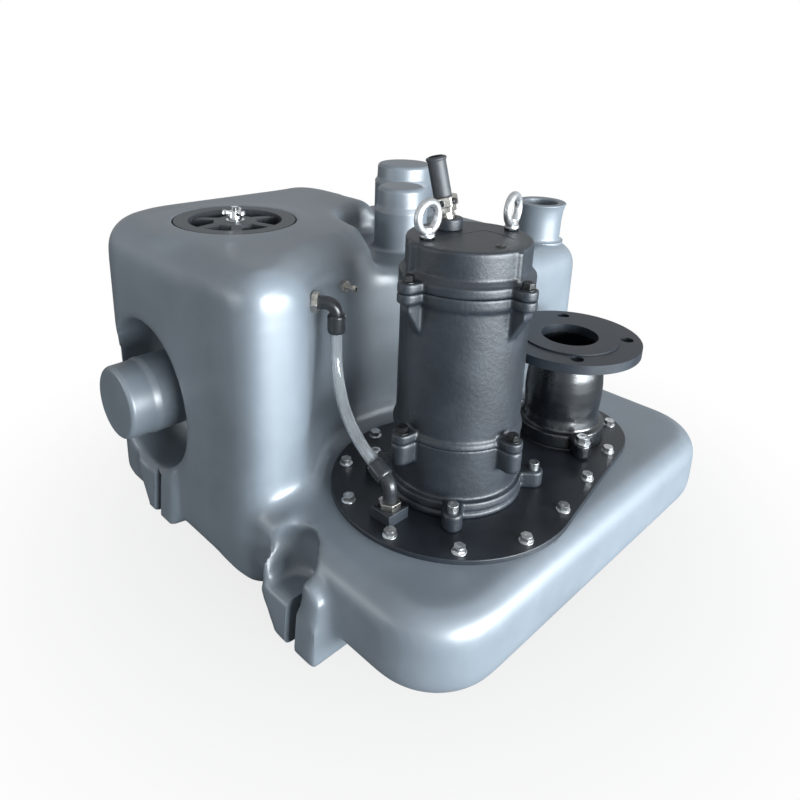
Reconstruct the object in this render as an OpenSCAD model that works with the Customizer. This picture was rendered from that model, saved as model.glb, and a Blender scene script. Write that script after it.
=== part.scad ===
// Sewage lifting station: a moulded tank with closed inlet stubs, a flange-mounted
// sump pump, a swing check valve under the discharge flange and a clamped inspection lid.
// Millimetres. +Z up, floor at z = 0, origin at the middle of the footprint.

/* [Tank] */
// Length of the tank between its two side faces
tank_l = 642; // [630:1:660]
// Depth of the tank from front to back
tank_d = 711; // [700:1:730]
// Height of the tall block over the floor
tall_h = 421; // [410:1:440]
// Height of the lower block over the floor
low_h = 367; // [355:1:375]
// Height of the deck that carries the pump
deck_h = 127; // [124:1:132]
// Wall thickness of the moulding
wall = 7; // [5:0.5:8]
// Height of the tank's underside over the floor
underside = 25; // [20:1:28]
// Radius of the round bay that the pump stands in
bay_r = 185; // [180:1:190]
// How far the anchor feet stand out from the side faces
foot_out = 12; // [8:1:16]
// Width of an anchor slot
anchor_slot = 15; // [12:0.5:18]

/* [Stubs] */
// Outer radius of the large closed pipe stubs
big_stub_r = 55; // [53:0.5:56]
// Outer radius of the small closed pipe stub
small_stub_r = 37.5; // [35:0.5:39]
// Height of the side inlet's axis over the floor
inlet_h = 180; // [175:1:185]
// How far the side inlet stands out from the side face
inlet_out = 35; // [30:1:40]
// Length of the top stubs above the lower block
stub_h = 92; // [80:1:100]
// Length of the open vent spigot above the lower block
spigot_h = 64; // [55:1:75]
// Radius of the vent spigot's bore
spigot_r = 27; // [25:0.5:29]

/* [Lid] */
// Radius of the inspection lid
lid_r = 84.5; // [82:0.5:86]
// Radius of the neck that the lid closes
neck_r = 76; // [74:0.5:77]
// Radius of the clamp stud
stud_r = 5; // [4:0.5:6]

/* [Pump] */
// Thickness of the cover plate
plate_t = 8; // [6:0.5:10]
// Thickness of the plate gasket
gasket_t = 2; // [1.5:0.5:3]
// Radius of the motor housing
motor_r = 77.5; // [76:0.5:79]
// Height of the oil chamber
chamber_h = 87; // [84:1:92]
// Height of the motor housing
housing_h = 186; // [180:1:195]
// Height of the motor cover
cover_h = 51; // [48:1:56]
// Radius of the shaft
shaft_r = 9; // [8:0.5:9.5]
// Radius of the impeller
impeller_r = 56; // [50:0.5:57]
// Spacing between the pump axis and the discharge axis
axis_gap = 214.3; // [212:0.1:217]

/* [Discharge] */
// Height of the discharge flange's face over the floor
flange_h = 287; // [280:1:295]
// Radius of the discharge flange
flange_r = 100; // [99:0.5:102]
// Radius of the discharge bore
discharge_r = 40; // [38:0.5:41]
// Bolt circle diameter of the discharge flange
flange_pcd = 160; // [158:0.5:162]
// Radius of the discharge flange's bolt holes
flange_hole_r = 9; // [8:0.5:9.5]

/* [Fasteners] */
// Number of bolts that hold the cover plate
plate_bolt_count = 14; // [12:1:16]
// Thread radius of the plate and motor bolts
bolt_r = 4; // [3.5:0.25:4]
// Thread radius of the check valve's bolts
valve_bolt_r = 5; // [4:0.5:5]
// Clearance between a bolt and its hole
bolt_gap = 0.5; // [0.3:0.1:0.7]
// Clearance between nested fixed pieces
seat_gap = 0.2; // [0.1:0.05:0.3]
// Running clearance of the shaft and the pins
run_gap = 0.05; // [0.02:0.01:0.1]

/* [Hidden] */
$fn = 48;
eps = 0.01;

// Footprint, with the origin at its middle
x_right = (tank_l + inlet_out - foot_out) / 2;
x_left = x_right - tank_l;
y_front = -tank_d / 2;
y_back = tank_d / 2;

// Pump and discharge axes
pump = [-85.5, y_front + 179.3];
plate_turn = -6.2;
pump_turn = -5;
discharge = pump + axis_gap * [cos(plate_turn), sin(plate_turn)];

// Blocks of the moulding
tall_x1 = x_left + 392;
tall_y0 = y_front + 271;
low_x0 = x_left + 250;
low_y0 = y_front + 262;
level_step = 1;
side_step = 4;
weld_y = low_y0 - 1.5;
facets = 24;

// Stub and spigot places
inlet_y = y_back - 141;
inlet_bay_r = 110;
inlet_bay_d = 80;
small_stub = [x_left + 367, low_y0 + 170];
big_stub = [x_right - 95, y_back - 110];
spigot = [x_right - 50, low_y0 + 64];
spigot_hub_r = spigot_r + 9;
spigot_lip_r = spigot_r + 14.5;
spigot_drop = 34;
stub_bay_r = 100;
stub_wall = 6;
stub_cap_h = 32;
stub_cap_in = 4;

// Feet
foot_ys = [y_front + 201, y_back - 181];
foot_w = 72;
foot_h = 62;
foot_d = 50;
scoop_r = 27;
scoop_h = 92;

// Lid
lid = [x_left + 138, y_back - 175];
lid_seat_d = 4;
lid_seat_r = lid_r + 2.5;
neck_h = 23;
lid_seal_t = 1.5;
lid_flange_t = 5.5;
lid_plug_h = 20;
lid_dish_r = 65;
lid_dish_d = 20;
lid_hub_r = 30;
lid_hub_drop = 3;
lid_plug_r = neck_r - 1.5;
lid_z = tall_h - lid_seat_d + lid_seal_t;
lid_top = lid_z + lid_flange_t;
hub_top = lid_top - lid_hub_drop;
bar_t = 10;
neck_z = tall_h - neck_h;

// Levels of the pump, from the deck up
gasket_z = deck_h;
plate_z = gasket_z + gasket_t;
plate_top = plate_z + plate_t;
chamber_top = plate_top + chamber_h;
housing_top = chamber_top + housing_h;
cover_top = housing_top + cover_h;
ring_t = 12;
chamber_r = motor_r + 2.5;
cover_r = motor_r - 3.3;
foot_lug_h = 22;
foot_lug_r = 102;
joint_lug_r = 92;
lug_r = 12;
lug_turns = [0, 90, 180, 270];
chamber_bore_r = 62;
chamber_floor = 15;
chamber_roof = 18;
stator_r = 66;
core_r = 37.5;
air_gap = 0.5;
stator_z = chamber_top + 26;
stator_h = 110;
bearing_low_r = 24;
bearing_top_r = 21;
seal_r = 15;
snout_r = 60;

// Levels of the pump, from the deck down
backing_t = 6;
backing_z = deck_h - wall - backing_t - 2;
snout_h = 15;
volute_z = underside + wall + 26;
volute_r = 74;
volute_floor = 8;
duct_r = 29;
duct_wall = 8;
pot_r = 40;
port_r = 30;
suction_t = 8;
suction_r = 30;
impeller_z = volute_z + volute_floor + 14;
impeller_top = plate_z - snout_h + plate_t - 4;
shaft_top = housing_top + 35;
shaft_low = impeller_z + 2;
tip_r = shaft_r - 3;

// Bolt loop of the cover plate, a belt line round the two axes
loop_pump_r = 142.7;
loop_discharge_r = 81;
loop_edge = 15;
loop_start = 63.6;
belt = acos((loop_pump_r - loop_discharge_r) / axis_gap);
belt_run = axis_gap * sin(belt);
belt_small = loop_discharge_r * 2 * belt * PI / 180;
belt_large = loop_pump_r * (360 - 2 * belt) * PI / 180;
belt_all = 2 * belt_run + belt_small + belt_large;
backing_edge = loop_edge - 9;
plate_room = 4;
opening_pump_r = 125;
opening_discharge_r = 60;

// Check valve
valve_turns = [235, 355, 115];
valve_lug_r = 79;
valve_gasket_t = 2;
valve_base_t = 21;
valve_z = plate_top + valve_gasket_t;
valve_foot_top = valve_z + valve_base_t;
flange_t = 13;
face_t = 2;
face_r = 69;
flange_z = flange_h - face_t - flange_t;
chamber_in_r = 45.5;
seat_z = valve_foot_top + 8;
chamber_in_top = flange_z - 17;
flap_r = 36;
flap_t = 5;
flap_lift = 0.3;
pin_r = 3;
pin_x = -38;
pin_z = seat_z + 10;
pin_l = 62;

// Gland and cable sleeve
gland = [11, 34];
gland_boss_r = 17;
gland_boss_h = 11;
gland_neck_r = 10;
gland_neck_h = 11;
gland_hex = 24;
gland_hex_h = 6;
clamp_z = gland_boss_h + gland_neck_h + gland_hex_h;
clamp_hex = 30;
clamp_h = 12;
sleeve_r = 11;
sleeve_wall = 3;
sleeve_l = 47.5;
sleeve_lean = 10;
sleeve_head = 133.6;

// Lifting eyes, placed from the pump axis
eyes = [[-53, 15, 92], [63, -8, 104]];
eye_r = 15;
eye_bar_r = 4.2;
eye_bore_r = 11.6;
eye_neck_h = 13;

// Vent line
block = [-203.5, y_front + 177];
block_size = [32, 32, 15];
elbow_r = 8.5;
collar_r = 11.5;
hose_r = 7.5;
low_bend = 16;
low_rise = 62;
low_collar_l = 22;
low_leg = 12;
high_bend = 14;
high_collar_l = 24;
high_turn = 130;
high_z = tall_h - 54;
nut_h = 8;
nut_af = 24;
low_z = plate_top + block_size[2] + nut_h;
vent_r = 5.5;
seat_sag = 0.7;
hose_route = [[-185, -58, 329], [-185, -58, 316], [-187, -61, 290], [-191, -72, 262],
    [-196, -90, 236], [-200, -114, 216], [-203, -137, 203.5], [-203.5, -150.1, 196.7]];
hose_sides = 12;

// Level port
port_turn = 101;
port_r_tail = 4;
level_z = tall_h - 62;

module at_pump() {
    translate([pump[0], pump[1], 0]) rotate([0, 0, pump_turn]) children();
}

module at_discharge() {
    translate([discharge[0], discharge[1], 0]) children();
}

module ring(outer, inner, z0, z1) {
    difference() {
        translate([0, 0, z0]) cylinder(r = outer, h = z1 - z0);
        translate([0, 0, z0 - 1]) cylinder(r = inner, h = z1 - z0 + 2);
    }
}

module hexagon(across, z0, z1) {
    translate([0, 0, z0]) cylinder(d = across / cos(30), h = z1 - z0, $fn = 6);
}

// Flange-head hexagon bolt, head up, shank to the depth
module flange_bolt(radius, z_head, z_tip) {
    across = 3.2 * radius;
    translate([0, 0, z_tip]) cylinder(r = radius, h = z_head - z_tip + 1);
    translate([0, 0, z_head]) cylinder(r = 2.2 * radius, h = 1.8);
    hexagon(across, z_head + 1, z_head + 1.7 * radius);
    translate([0, 0, z_head + 1.7 * radius])
        cylinder(r1 = 0.46 * across, r2 = 0.38 * across, h = 0.8);
}

// Lug on a cylinder's side, joined to the axis by a web of its own width
module lug(turn, reach, z0, z1) {
    rotate([0, 0, turn]) translate([0, 0, z0]) {
        translate([reach, 0, 0]) cylinder(r = lug_r, h = z1 - z0);
        translate([0, -lug_r, 0]) cube([reach, 2 * lug_r, z1 - z0]);
    }
}

module holes(turns, reach, radius, z0, z1) {
    for (turn = turns)
        rotate([0, 0, turn]) translate([reach, 0, z0]) cylinder(r = radius, h = z1 - z0);
}

// Belt-shaped plate round the pump and discharge axes
module pear(grow, z0, z1) {
    hull() {
        translate([pump[0], pump[1], z0])
            cylinder(r = loop_pump_r + grow, h = z1 - z0, $fn = 96);
        translate([discharge[0], discharge[1], z0])
            cylinder(r = loop_discharge_r + grow, h = z1 - z0, $fn = 96);
    }
}

// Place on the bay's wall at the turn, with +Z pointing at the pump axis
module on_bay(turn, z) {
    translate([pump[0], pump[1], z]) rotate([0, 0, turn]) translate([bay_r, 0, 0])
        rotate([0, -90, 0]) children();
}

module pear_opening(z0, z1) {
    translate([pump[0], pump[1], z0]) cylinder(r = opening_pump_r, h = z1 - z0);
    translate([discharge[0], discharge[1], z0])
        cylinder(r = opening_discharge_r, h = z1 - z0);
    translate([pump[0], pump[1], z0]) rotate([0, 0, plate_turn])
        translate([0, -duct_r - 5, 0]) cube([axis_gap, 2 * duct_r + 10, z1 - z0]);
}

// Point on the bolt loop at a distance along it from the front tangent point
function turned(centre, radius, angle) = centre + radius * [cos(angle), sin(angle)];
function along(a, b, share) = a + (b - a) * share;
function loop_point(s) =
    let (d = s - belt_all * floor(s / belt_all),
        low = plate_turn - belt,
        high = plate_turn + belt)
    d < belt_small
        ? turned(discharge, loop_discharge_r, low + d / loop_discharge_r * 180 / PI)
    : d < belt_small + belt_run
        ? along(turned(discharge, loop_discharge_r, high),
            turned(pump, loop_pump_r, high), (d - belt_small) / belt_run)
    : d < belt_small + belt_run + belt_large
        ? turned(pump, loop_pump_r,
            high + (d - belt_small - belt_run) / loop_pump_r * 180 / PI)
    : along(turned(pump, loop_pump_r, low), turned(discharge, loop_discharge_r, low),
        (d - belt_small - belt_run - belt_large) / belt_run);

module on_bolt_loop() {
    for (i = [0 : plate_bolt_count - 1]) {
        p = loop_point(loop_start + i * belt_all / plate_bolt_count);
        translate([p[0], p[1], 0]) children();
    }
}

// Quarter of a round corner: a ring of the edge's radius inside the corner's radius
module edge_ring(plan_r, edge_r) {
    rotate_extrude($fn = facets) intersection() {
        translate([plan_r - edge_r, 0]) circle(r = edge_r, $fn = facets);
        translate([0, -edge_r]) square([plan_r + 1, 2 * edge_r]);
    }
}

// Block with round corners in plan and round top and bottom edges
module soft_block(x0, x1, y0, y1, z0, z1, plan_r, top_r, low_r) {
    hull()
        for (x = [x0 + plan_r, x1 - plan_r], y = [y0 + plan_r, y1 - plan_r]) {
            translate([x, y, z1 - top_r]) edge_ring(plan_r, top_r);
            translate([x, y, z0 + low_r]) edge_ring(plan_r, low_r);
        }
}

// The moulding's three blocks and its bays, drawn in by t from the outer skin
module tank_blocks(t) {
    soft_block(x_left + side_step + t, x_right - t, y_front + t, y_back - 2 * side_step - t,
        underside + level_step + t, deck_h - t, 90 - t, 30 - t, 32 - t);
    difference() {
        union() {
            soft_block(x_left + t, tall_x1 - t, tall_y0 + t, y_back - t,
                underside + t, tall_h - t, 80 - t, 50 - t, 34 - t);
            soft_block(low_x0 + t, x_right - side_step - t, low_y0 + t,
                y_back - side_step - t, underside + 2 * level_step + t, low_h - t,
                62 - t, 45 - t, 36 - t);
        }
        translate([pump[0], pump[1], deck_h - level_step - t]) {
            cylinder(r = bay_r + t, h = tall_h);
            rotate([0, 0, plate_turn + belt - 90])
                cube([belt_run + t, loop_pump_r + loop_edge + plate_room + t, tall_h]);
        }
        difference() {
            translate([small_stub[0], small_stub[1], low_h - level_step - t])
                cylinder(r = stub_bay_r + t, h = tall_h);
            translate([x_left, y_front, 0])
                cube([low_x0 + 40 - x_left - t, tank_d, 2 * tall_h]);
        }
    }
}

// Round bay in the side face, round the inlet stub
module inlet_bay(t) {
    translate([x_left - 5, inlet_y, inlet_h]) rotate([0, 90, 0])
        cylinder(r = inlet_bay_r + t, h = inlet_bay_d + 5 + t);
}

// Closed stub that stands on z = 0, with a narrower cap
module stub(radius, length) {
    translate([0, 0, -wall]) cylinder(r = radius, h = length + wall - stub_cap_h);
    translate([0, 0, length - stub_cap_h - eps])
        cylinder(r1 = radius - stub_cap_in, r2 = radius - stub_cap_in - 1, h = stub_cap_h);
}

module stub_bore(radius, length) {
    translate([0, 0, -2 * wall])
        cylinder(r = radius - stub_wall - stub_cap_in, h = length - stub_wall + 2 * wall);
}

module at_stub(which) {
    if (which == "inlet")
        translate([x_left + inlet_bay_d, inlet_y, inlet_h]) rotate([0, -90, 0]) children();
    if (which == "big")
        translate([big_stub[0], big_stub[1], low_h]) children();
    if (which == "small")
        translate([small_stub[0], small_stub[1], low_h]) children();
}

// Places of the four anchor feet, with +X pointing out of the tank
module at_feet() {
    for (y = foot_ys) {
        translate([x_right, y, 0]) children();
        translate([x_left, y, 0]) mirror([1, 0, 0]) children();
    }
}

module foot_pad(t) {
    translate([-foot_d - t, -foot_w / 2 - t, 0])
        cube([foot_d + foot_out + t, foot_w + 2 * t, foot_h + t]);
}

module foot_scoop(t) {
    translate([-10, 0, foot_h]) cylinder(r = scoop_r + t, h = scoop_h - foot_h);
    translate([-10, 0, scoop_h]) sphere(r = scoop_r + t, $fn = facets);
    translate([-10, -scoop_r - t, foot_h])
        cube([foot_out + 20, 2 * (scoop_r + t), scoop_h - foot_h]);
}

module foot_slot() {
    translate([-foot_d + 20, 0, -1]) cylinder(d = anchor_slot, h = foot_h + 5);
    translate([-foot_d + 20, -anchor_slot / 2, -1])
        cube([foot_d + foot_out, anchor_slot, foot_h + 5]);
}

module tank_outside() {
    tank_blocks(0);
    at_feet() foot_pad(0);
}

module tank_inside() {
    difference() {
        tank_blocks(wall);
        inlet_bay(wall);
        at_feet() {
            foot_pad(wall / 2);
            foot_scoop(wall);
        }
    }
}

// The whole moulding, before it is parted at its weld line
module moulding() {
    difference() {
        union() {
            difference() {
                tank_outside();
                inlet_bay(0);
                at_feet() foot_scoop(0);
                tank_inside();
            }
            at_stub("inlet") stub(big_stub_r, inlet_bay_d + inlet_out);
            at_stub("big") stub(big_stub_r, stub_h);
            at_stub("small") stub(small_stub_r, stub_h);
            translate([lid[0], lid[1], 0])
                ring(lid_seat_r + wall, neck_r, neck_z, tall_h - wall / 2);
        }
        at_feet() foot_slot();
        at_stub("inlet") stub_bore(big_stub_r, inlet_bay_d + inlet_out);
        at_stub("big") stub_bore(big_stub_r, stub_h);
        at_stub("small") stub_bore(small_stub_r, stub_h);
        translate([spigot[0], spigot[1], low_h - spigot_drop - wall])
            cylinder(r = spigot_hub_r + seat_gap, h = spigot_h);
        translate([lid[0], lid[1], neck_z - 1]) cylinder(r = neck_r, h = 2 * neck_h);
        translate([lid[0], lid[1], tall_h - lid_seat_d])
            cylinder(r = lid_seat_r, h = 2 * lid_seat_d);
        pear_opening(deck_h - 3 * wall, deck_h + 1);
        on_bolt_loop() translate([0, 0, deck_h - 3 * wall])
            cylinder(r = bolt_r + bolt_gap, h = 4 * wall);
        on_bay(port_turn, level_z) cylinder(r = port_r_tail + seat_gap, h = 60, center = true);
        on_bay(high_turn, high_z) cylinder(r = vent_r + seat_gap, h = 60, center = true);
    }
}

// Everything in front of the weld line
module platform_room() {
    translate([x_left - foot_out - 1, y_front - 1, -1])
        cube([tank_l + 2 * foot_out + 2, weld_y - y_front + 1, tall_h]);
}

// Rear part of the tank, with the tall block, the lower block and the round bay
module tank_shell() {
    color([0.43, 0.48, 0.54])
    difference() {
        moulding();
        platform_room();
    }
}

// Front part of the tank: the low platform that carries the pump
module tank_platform() {
    color([0.43, 0.48, 0.54])
    intersection() {
        moulding();
        platform_room();
    }
}

// Open vent spigot that stands through the lower block's top
module vent_spigot() {
    color([0.43, 0.48, 0.54])
    translate([spigot[0], spigot[1], low_h]) difference() {
        union() {
            translate([0, 0, -spigot_drop]) cylinder(r = spigot_hub_r, h = spigot_drop + 1);
            cylinder(r1 = spigot_hub_r, r2 = spigot_lip_r, h = spigot_h);
        }
        translate([0, 0, -spigot_drop - 1]) cylinder(r = spigot_r, h = spigot_drop + spigot_h + 2);
    }
}

module backing_ring() {
    color([0.62, 0.63, 0.64])
    difference() {
        pear(backing_edge, backing_z, deck_h - wall);
        pear_opening(backing_z - 1, deck_h);
        on_bolt_loop() translate([0, 0, backing_z - 1])
            cylinder(r = bolt_r + run_gap, h = backing_t + wall);
    }
}

module plate_gasket() {
    color([0.05, 0.05, 0.055])
    difference() {
        pear(loop_edge + 1, gasket_z, plate_z);
        pear_opening(gasket_z - 1, plate_z + 1);
        on_bolt_loop() translate([0, 0, gasket_z - 1])
            cylinder(r = bolt_r + bolt_gap, h = gasket_t + 2);
    }
}

module cover_plate() {
    color([0.12, 0.13, 0.14])
    difference() {
        pear(loop_edge, plate_z, plate_top);
        translate([pump[0], pump[1], plate_z - 1]) cylinder(r = snout_r + seat_gap, h = plate_t + 2);
        translate([discharge[0], discharge[1], plate_z - 1]) cylinder(r = port_r, h = plate_t + 2);
        translate([block[0], block[1], plate_z - 1]) cylinder(r = vent_r, h = plate_t + 2);
        on_bolt_loop() translate([0, 0, plate_z - 1])
            cylinder(r = bolt_r + bolt_gap, h = plate_t + 2);
        at_pump() holes(lug_turns + [45, 45, 45, 45], foot_lug_r, bolt_r + bolt_gap,
            plate_z - 1, plate_top + 1);
        at_discharge() holes(valve_turns, valve_lug_r, valve_bolt_r + run_gap,
            plate_z - 1, plate_top + 1);
    }
}

module plate_bolts() {
    color([0.82, 0.83, 0.85])
    on_bolt_loop() flange_bolt(bolt_r, plate_top, backing_z);
}

module oil_chamber() {
    diagonals = lug_turns + [45, 45, 45, 45];
    color([0.13, 0.14, 0.15])
    at_pump() difference() {
        union() {
            translate([0, 0, plate_top]) cylinder(r = chamber_r, h = chamber_h);
            translate([0, 0, plate_top]) cylinder(r = chamber_r + 8, h = chamber_floor);
            translate([0, 0, plate_top - snout_h]) cylinder(r = snout_r, h = snout_h + 1);
            for (turn = diagonals) lug(turn, foot_lug_r, plate_top, plate_top + foot_lug_h);
            for (turn = lug_turns) lug(turn, joint_lug_r, chamber_top - 28, chamber_top);
        }
        translate([0, 0, plate_top + chamber_floor])
            cylinder(r = chamber_bore_r, h = chamber_h - chamber_floor - chamber_roof);
        translate([0, 0, plate_top - snout_h - 1])
            cylinder(r = seal_r + seat_gap, h = chamber_floor + snout_h + 5);
        translate([0, 0, chamber_top - chamber_roof - 1])
            cylinder(r = bearing_low_r + seat_gap, h = chamber_roof + 2);
        holes(diagonals, foot_lug_r, bolt_r + bolt_gap, plate_top - 1,
            plate_top + foot_lug_h + 1);
        holes(lug_turns, joint_lug_r, bolt_r + run_gap, chamber_top - 20, chamber_top + 1);
    }
}

// Socket-head screws through the chamber's feet, the plate and the volute's lugs
module chamber_screws() {
    head_z = plate_top + foot_lug_h;
    color([0.80, 0.81, 0.83])
    at_pump() for (turn = lug_turns + [45, 45, 45, 45])
        rotate([0, 0, turn]) translate([foot_lug_r, 0, 0]) difference() {
            union() {
                translate([0, 0, plate_z - 18]) cylinder(r = bolt_r, h = head_z - plate_z + 19);
                translate([0, 0, head_z]) cylinder(r = 1.65 * bolt_r, h = 10);
            }
            hexagon(1.6 * bolt_r, head_z + 5, head_z + 11);
        }
}

module motor_housing() {
    color([0.13, 0.14, 0.15])
    at_pump() difference() {
        union() {
            translate([0, 0, chamber_top]) cylinder(r = motor_r, h = housing_h);
            translate([0, 0, chamber_top]) cylinder(r = chamber_r + 1.5, h = ring_t - 4);
            translate([0, 0, housing_top - ring_t]) cylinder(r = motor_r + 3.5, h = ring_t);
            for (turn = lug_turns) {
                lug(turn, joint_lug_r, chamber_top, chamber_top + ring_t);
                lug(turn, joint_lug_r, housing_top - ring_t, housing_top);
                rotate([0, 0, turn]) translate([joint_lug_r - 4, 0, housing_top - 46])
                    cylinder(r1 = 1, r2 = lug_r - 4, h = 46 - ring_t + eps);
            }
        }
        translate([0, 0, chamber_top - 1]) cylinder(r = stator_r + seat_gap, h = housing_h + 2);
        holes(lug_turns, joint_lug_r, bolt_r + bolt_gap, chamber_top - 1,
            chamber_top + ring_t + 1);
        holes(lug_turns, joint_lug_r, bolt_r + run_gap, housing_top - 22, housing_top + 1);
    }
}

module housing_bolts() {
    color([0.35, 0.36, 0.38])
    at_pump() for (turn = lug_turns)
        rotate([0, 0, turn]) translate([joint_lug_r, 0, 0])
            flange_bolt(bolt_r, chamber_top + ring_t, chamber_top - 18);
}

module motor_cover() {
    color([0.14, 0.15, 0.16])
    at_pump() difference() {
        union() {
            translate([0, 0, housing_top]) cylinder(r = cover_r, h = cover_h - 4);
            translate([0, 0, cover_top - 4]) cylinder(r1 = cover_r, r2 = cover_r - 4, h = 4);
            translate([0, 0, housing_top]) cylinder(r = motor_r + 3.5, h = ring_t);
            for (turn = lug_turns) lug(turn, joint_lug_r, housing_top, housing_top + ring_t);
        }
        difference() {
            translate([0, 0, housing_top - 1]) cylinder(r = 62, h = cover_h - 9);
            translate([0, 0, housing_top + 18]) cylinder(r = bearing_top_r + 8, h = cover_h);
        }
        translate([0, 0, housing_top + 17]) cylinder(r = bearing_top_r + seat_gap, h = 20);
        holes(lug_turns, joint_lug_r, bolt_r + bolt_gap, housing_top - 1,
            housing_top + ring_t + 1);
        for (eye = eyes) translate([eye[0], eye[1], cover_top - 14])
            cylinder(r = 5 + run_gap, h = 20);
        translate([gland[0], gland[1], cover_top - 12])
            cylinder(r = sleeve_r - sleeve_wall, h = 20);
        translate([22, -46, cover_top - 6]) cylinder(r = 3 + run_gap, h = 20);
    }
}

module cover_bolts() {
    color([0.30, 0.31, 0.33])
    at_pump() for (turn = lug_turns)
        rotate([0, 0, turn]) translate([joint_lug_r, 0, 0])
            flange_bolt(bolt_r, housing_top + ring_t, housing_top - 20);
}

// Small plug screw in the cover's top
module cover_screw() {
    color([0.10, 0.10, 0.11])
    at_pump() translate([22, -46, 0]) difference() {
        union() {
            translate([0, 0, cover_top - 5]) cylinder(r = 3, h = 5);
            translate([0, 0, cover_top]) cylinder(r1 = 5.5, r2 = 4.5, h = 1.6);
        }
        translate([-6, -0.6, cover_top + 0.8]) cube([12, 1.2, 2]);
    }
}

module eye_bolts() {
    color([0.90, 0.91, 0.93])
    at_pump() for (eye = eyes) translate([eye[0], eye[1], cover_top]) {
        translate([0, 0, -12]) cylinder(r = 5, h = 13);
        cylinder(r = 9, h = 4);
        translate([0, 0, 3]) cylinder(r1 = 7, r2 = 5, h = eye_neck_h - 5);
        translate([0, 0, eye_neck_h + eye_r - 2]) rotate([90, 0, eye[2] - 90 - pump_turn])
            difference() {
                rotate_extrude() translate([eye_r, 0]) circle(r = eye_bar_r);
                translate([0, 0, -10]) cylinder(r = eye_bore_r, h = 20);
            }
    }
}

module at_gland() {
    at_pump() translate([gland[0], gland[1], cover_top]) children();
}

module gland_boss() {
    color([0.12, 0.13, 0.14])
    at_gland() ring(gland_boss_r, gland_neck_r - 2, 0, gland_boss_h);
}

module gland_body() {
    color([0.78, 0.77, 0.74])
    at_gland() difference() {
        union() {
            translate([0, 0, gland_boss_h]) cylinder(r = gland_neck_r, h = gland_neck_h);
            hexagon(gland_hex, gland_boss_h + gland_neck_h - 1,
                gland_boss_h + gland_neck_h + gland_hex_h);
        }
        cylinder(r = sleeve_r - sleeve_wall, h = 60);
    }
}

module gland_clamp() {
    color([0.82, 0.81, 0.78])
    at_gland() difference() {
        hexagon(clamp_hex, clamp_z, clamp_z + clamp_h);
        cylinder(r = sleeve_r - sleeve_wall, h = 60);
        for (side = [0, 60])
            rotate([0, 0, side - 150]) translate([0, 0, clamp_z + clamp_h / 2]) rotate([0, 90, 0])
                translate([0, 0, clamp_hex / 2 - 4]) cylinder(r = 2 + run_gap, h = 20);
    }
}

module gland_screws() {
    color([0.55, 0.55, 0.56])
    at_gland() for (side = [0, 60])
        rotate([0, 0, side - 150]) translate([0, 0, clamp_z + clamp_h / 2]) rotate([0, 90, 0]) {
            translate([0, 0, clamp_hex / 2 - 3.5]) cylinder(r = 2, h = 5);
            translate([0, 0, clamp_hex / 2]) cylinder(r = 3.6, h = 3);
        }
}

// Rubber sleeve that the cable leaves through, leaning, with a lip round its mouth
module cable_sleeve() {
    color([0.16, 0.17, 0.18])
    at_gland() difference() {
        translate([0, 0, clamp_z + clamp_h]) rotate([0, 0, sleeve_head - pump_turn])
            rotate([0, sleeve_lean, 0]) difference() {
                union() {
                    translate([0, 0, -6]) cylinder(r = sleeve_r, h = sleeve_l + 6);
                    translate([0, 0, sleeve_l - 5]) cylinder(r = sleeve_r + 1, h = 5);
                }
                translate([0, 0, -10]) cylinder(r = sleeve_r - sleeve_wall, h = sleeve_l + 20);
            }
        translate([-40, -40, clamp_z + clamp_h - 20]) cube([80, 80, 20]);
    }
}

module stator() {
    color([0.60, 0.42, 0.28])
    at_pump() ring(stator_r, core_r + air_gap, stator_z, stator_z + stator_h);
}

module rotor_core() {
    color([0.55, 0.56, 0.58])
    at_pump() ring(core_r, shaft_r + run_gap, stator_z, stator_z + stator_h);
}

module shaft() {
    color([0.70, 0.71, 0.73])
    at_pump() {
        translate([0, 0, shaft_low]) cylinder(r = shaft_r, h = shaft_top - shaft_low);
        translate([0, 0, shaft_low - 10]) cylinder(r = tip_r, h = 11);
    }
}

module upper_bearing() {
    color([0.74, 0.75, 0.77])
    at_pump() ring(bearing_top_r, shaft_r + run_gap, housing_top + 20, housing_top + 34);
}

module lower_bearing() {
    color([0.74, 0.75, 0.77])
    at_pump() ring(bearing_low_r, shaft_r + run_gap, chamber_top - chamber_roof,
        chamber_top - 2);
}

module mechanical_seal() {
    color([0.20, 0.20, 0.22])
    at_pump() ring(seal_r, shaft_r + run_gap, plate_top - snout_h + 2,
        plate_top + chamber_floor + 3);
}

// Open impeller with a back disc and four straight blades
module impeller() {
    color([0.35, 0.36, 0.38])
    at_pump() difference() {
        union() {
            translate([0, 0, impeller_z]) cylinder(r = 16, h = impeller_top - impeller_z);
            translate([0, 0, impeller_top - 8]) cylinder(r = impeller_r, h = 6);
            for (turn = lug_turns) rotate([0, 0, turn + 20])
                translate([10, -3, impeller_z + 1])
                    cube([impeller_r - 14, 6, impeller_top - impeller_z - 6]);
        }
        translate([0, 0, impeller_z - 1]) cylinder(r = shaft_r + run_gap, h = 90);
    }
}

module impeller_nut() {
    color([0.75, 0.76, 0.78])
    at_pump() difference() {
        hexagon(20, impeller_z - 9, impeller_z);
        translate([0, 0, impeller_z - 12]) cylinder(r = tip_r + run_gap, h = 20);
    }
}

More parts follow.
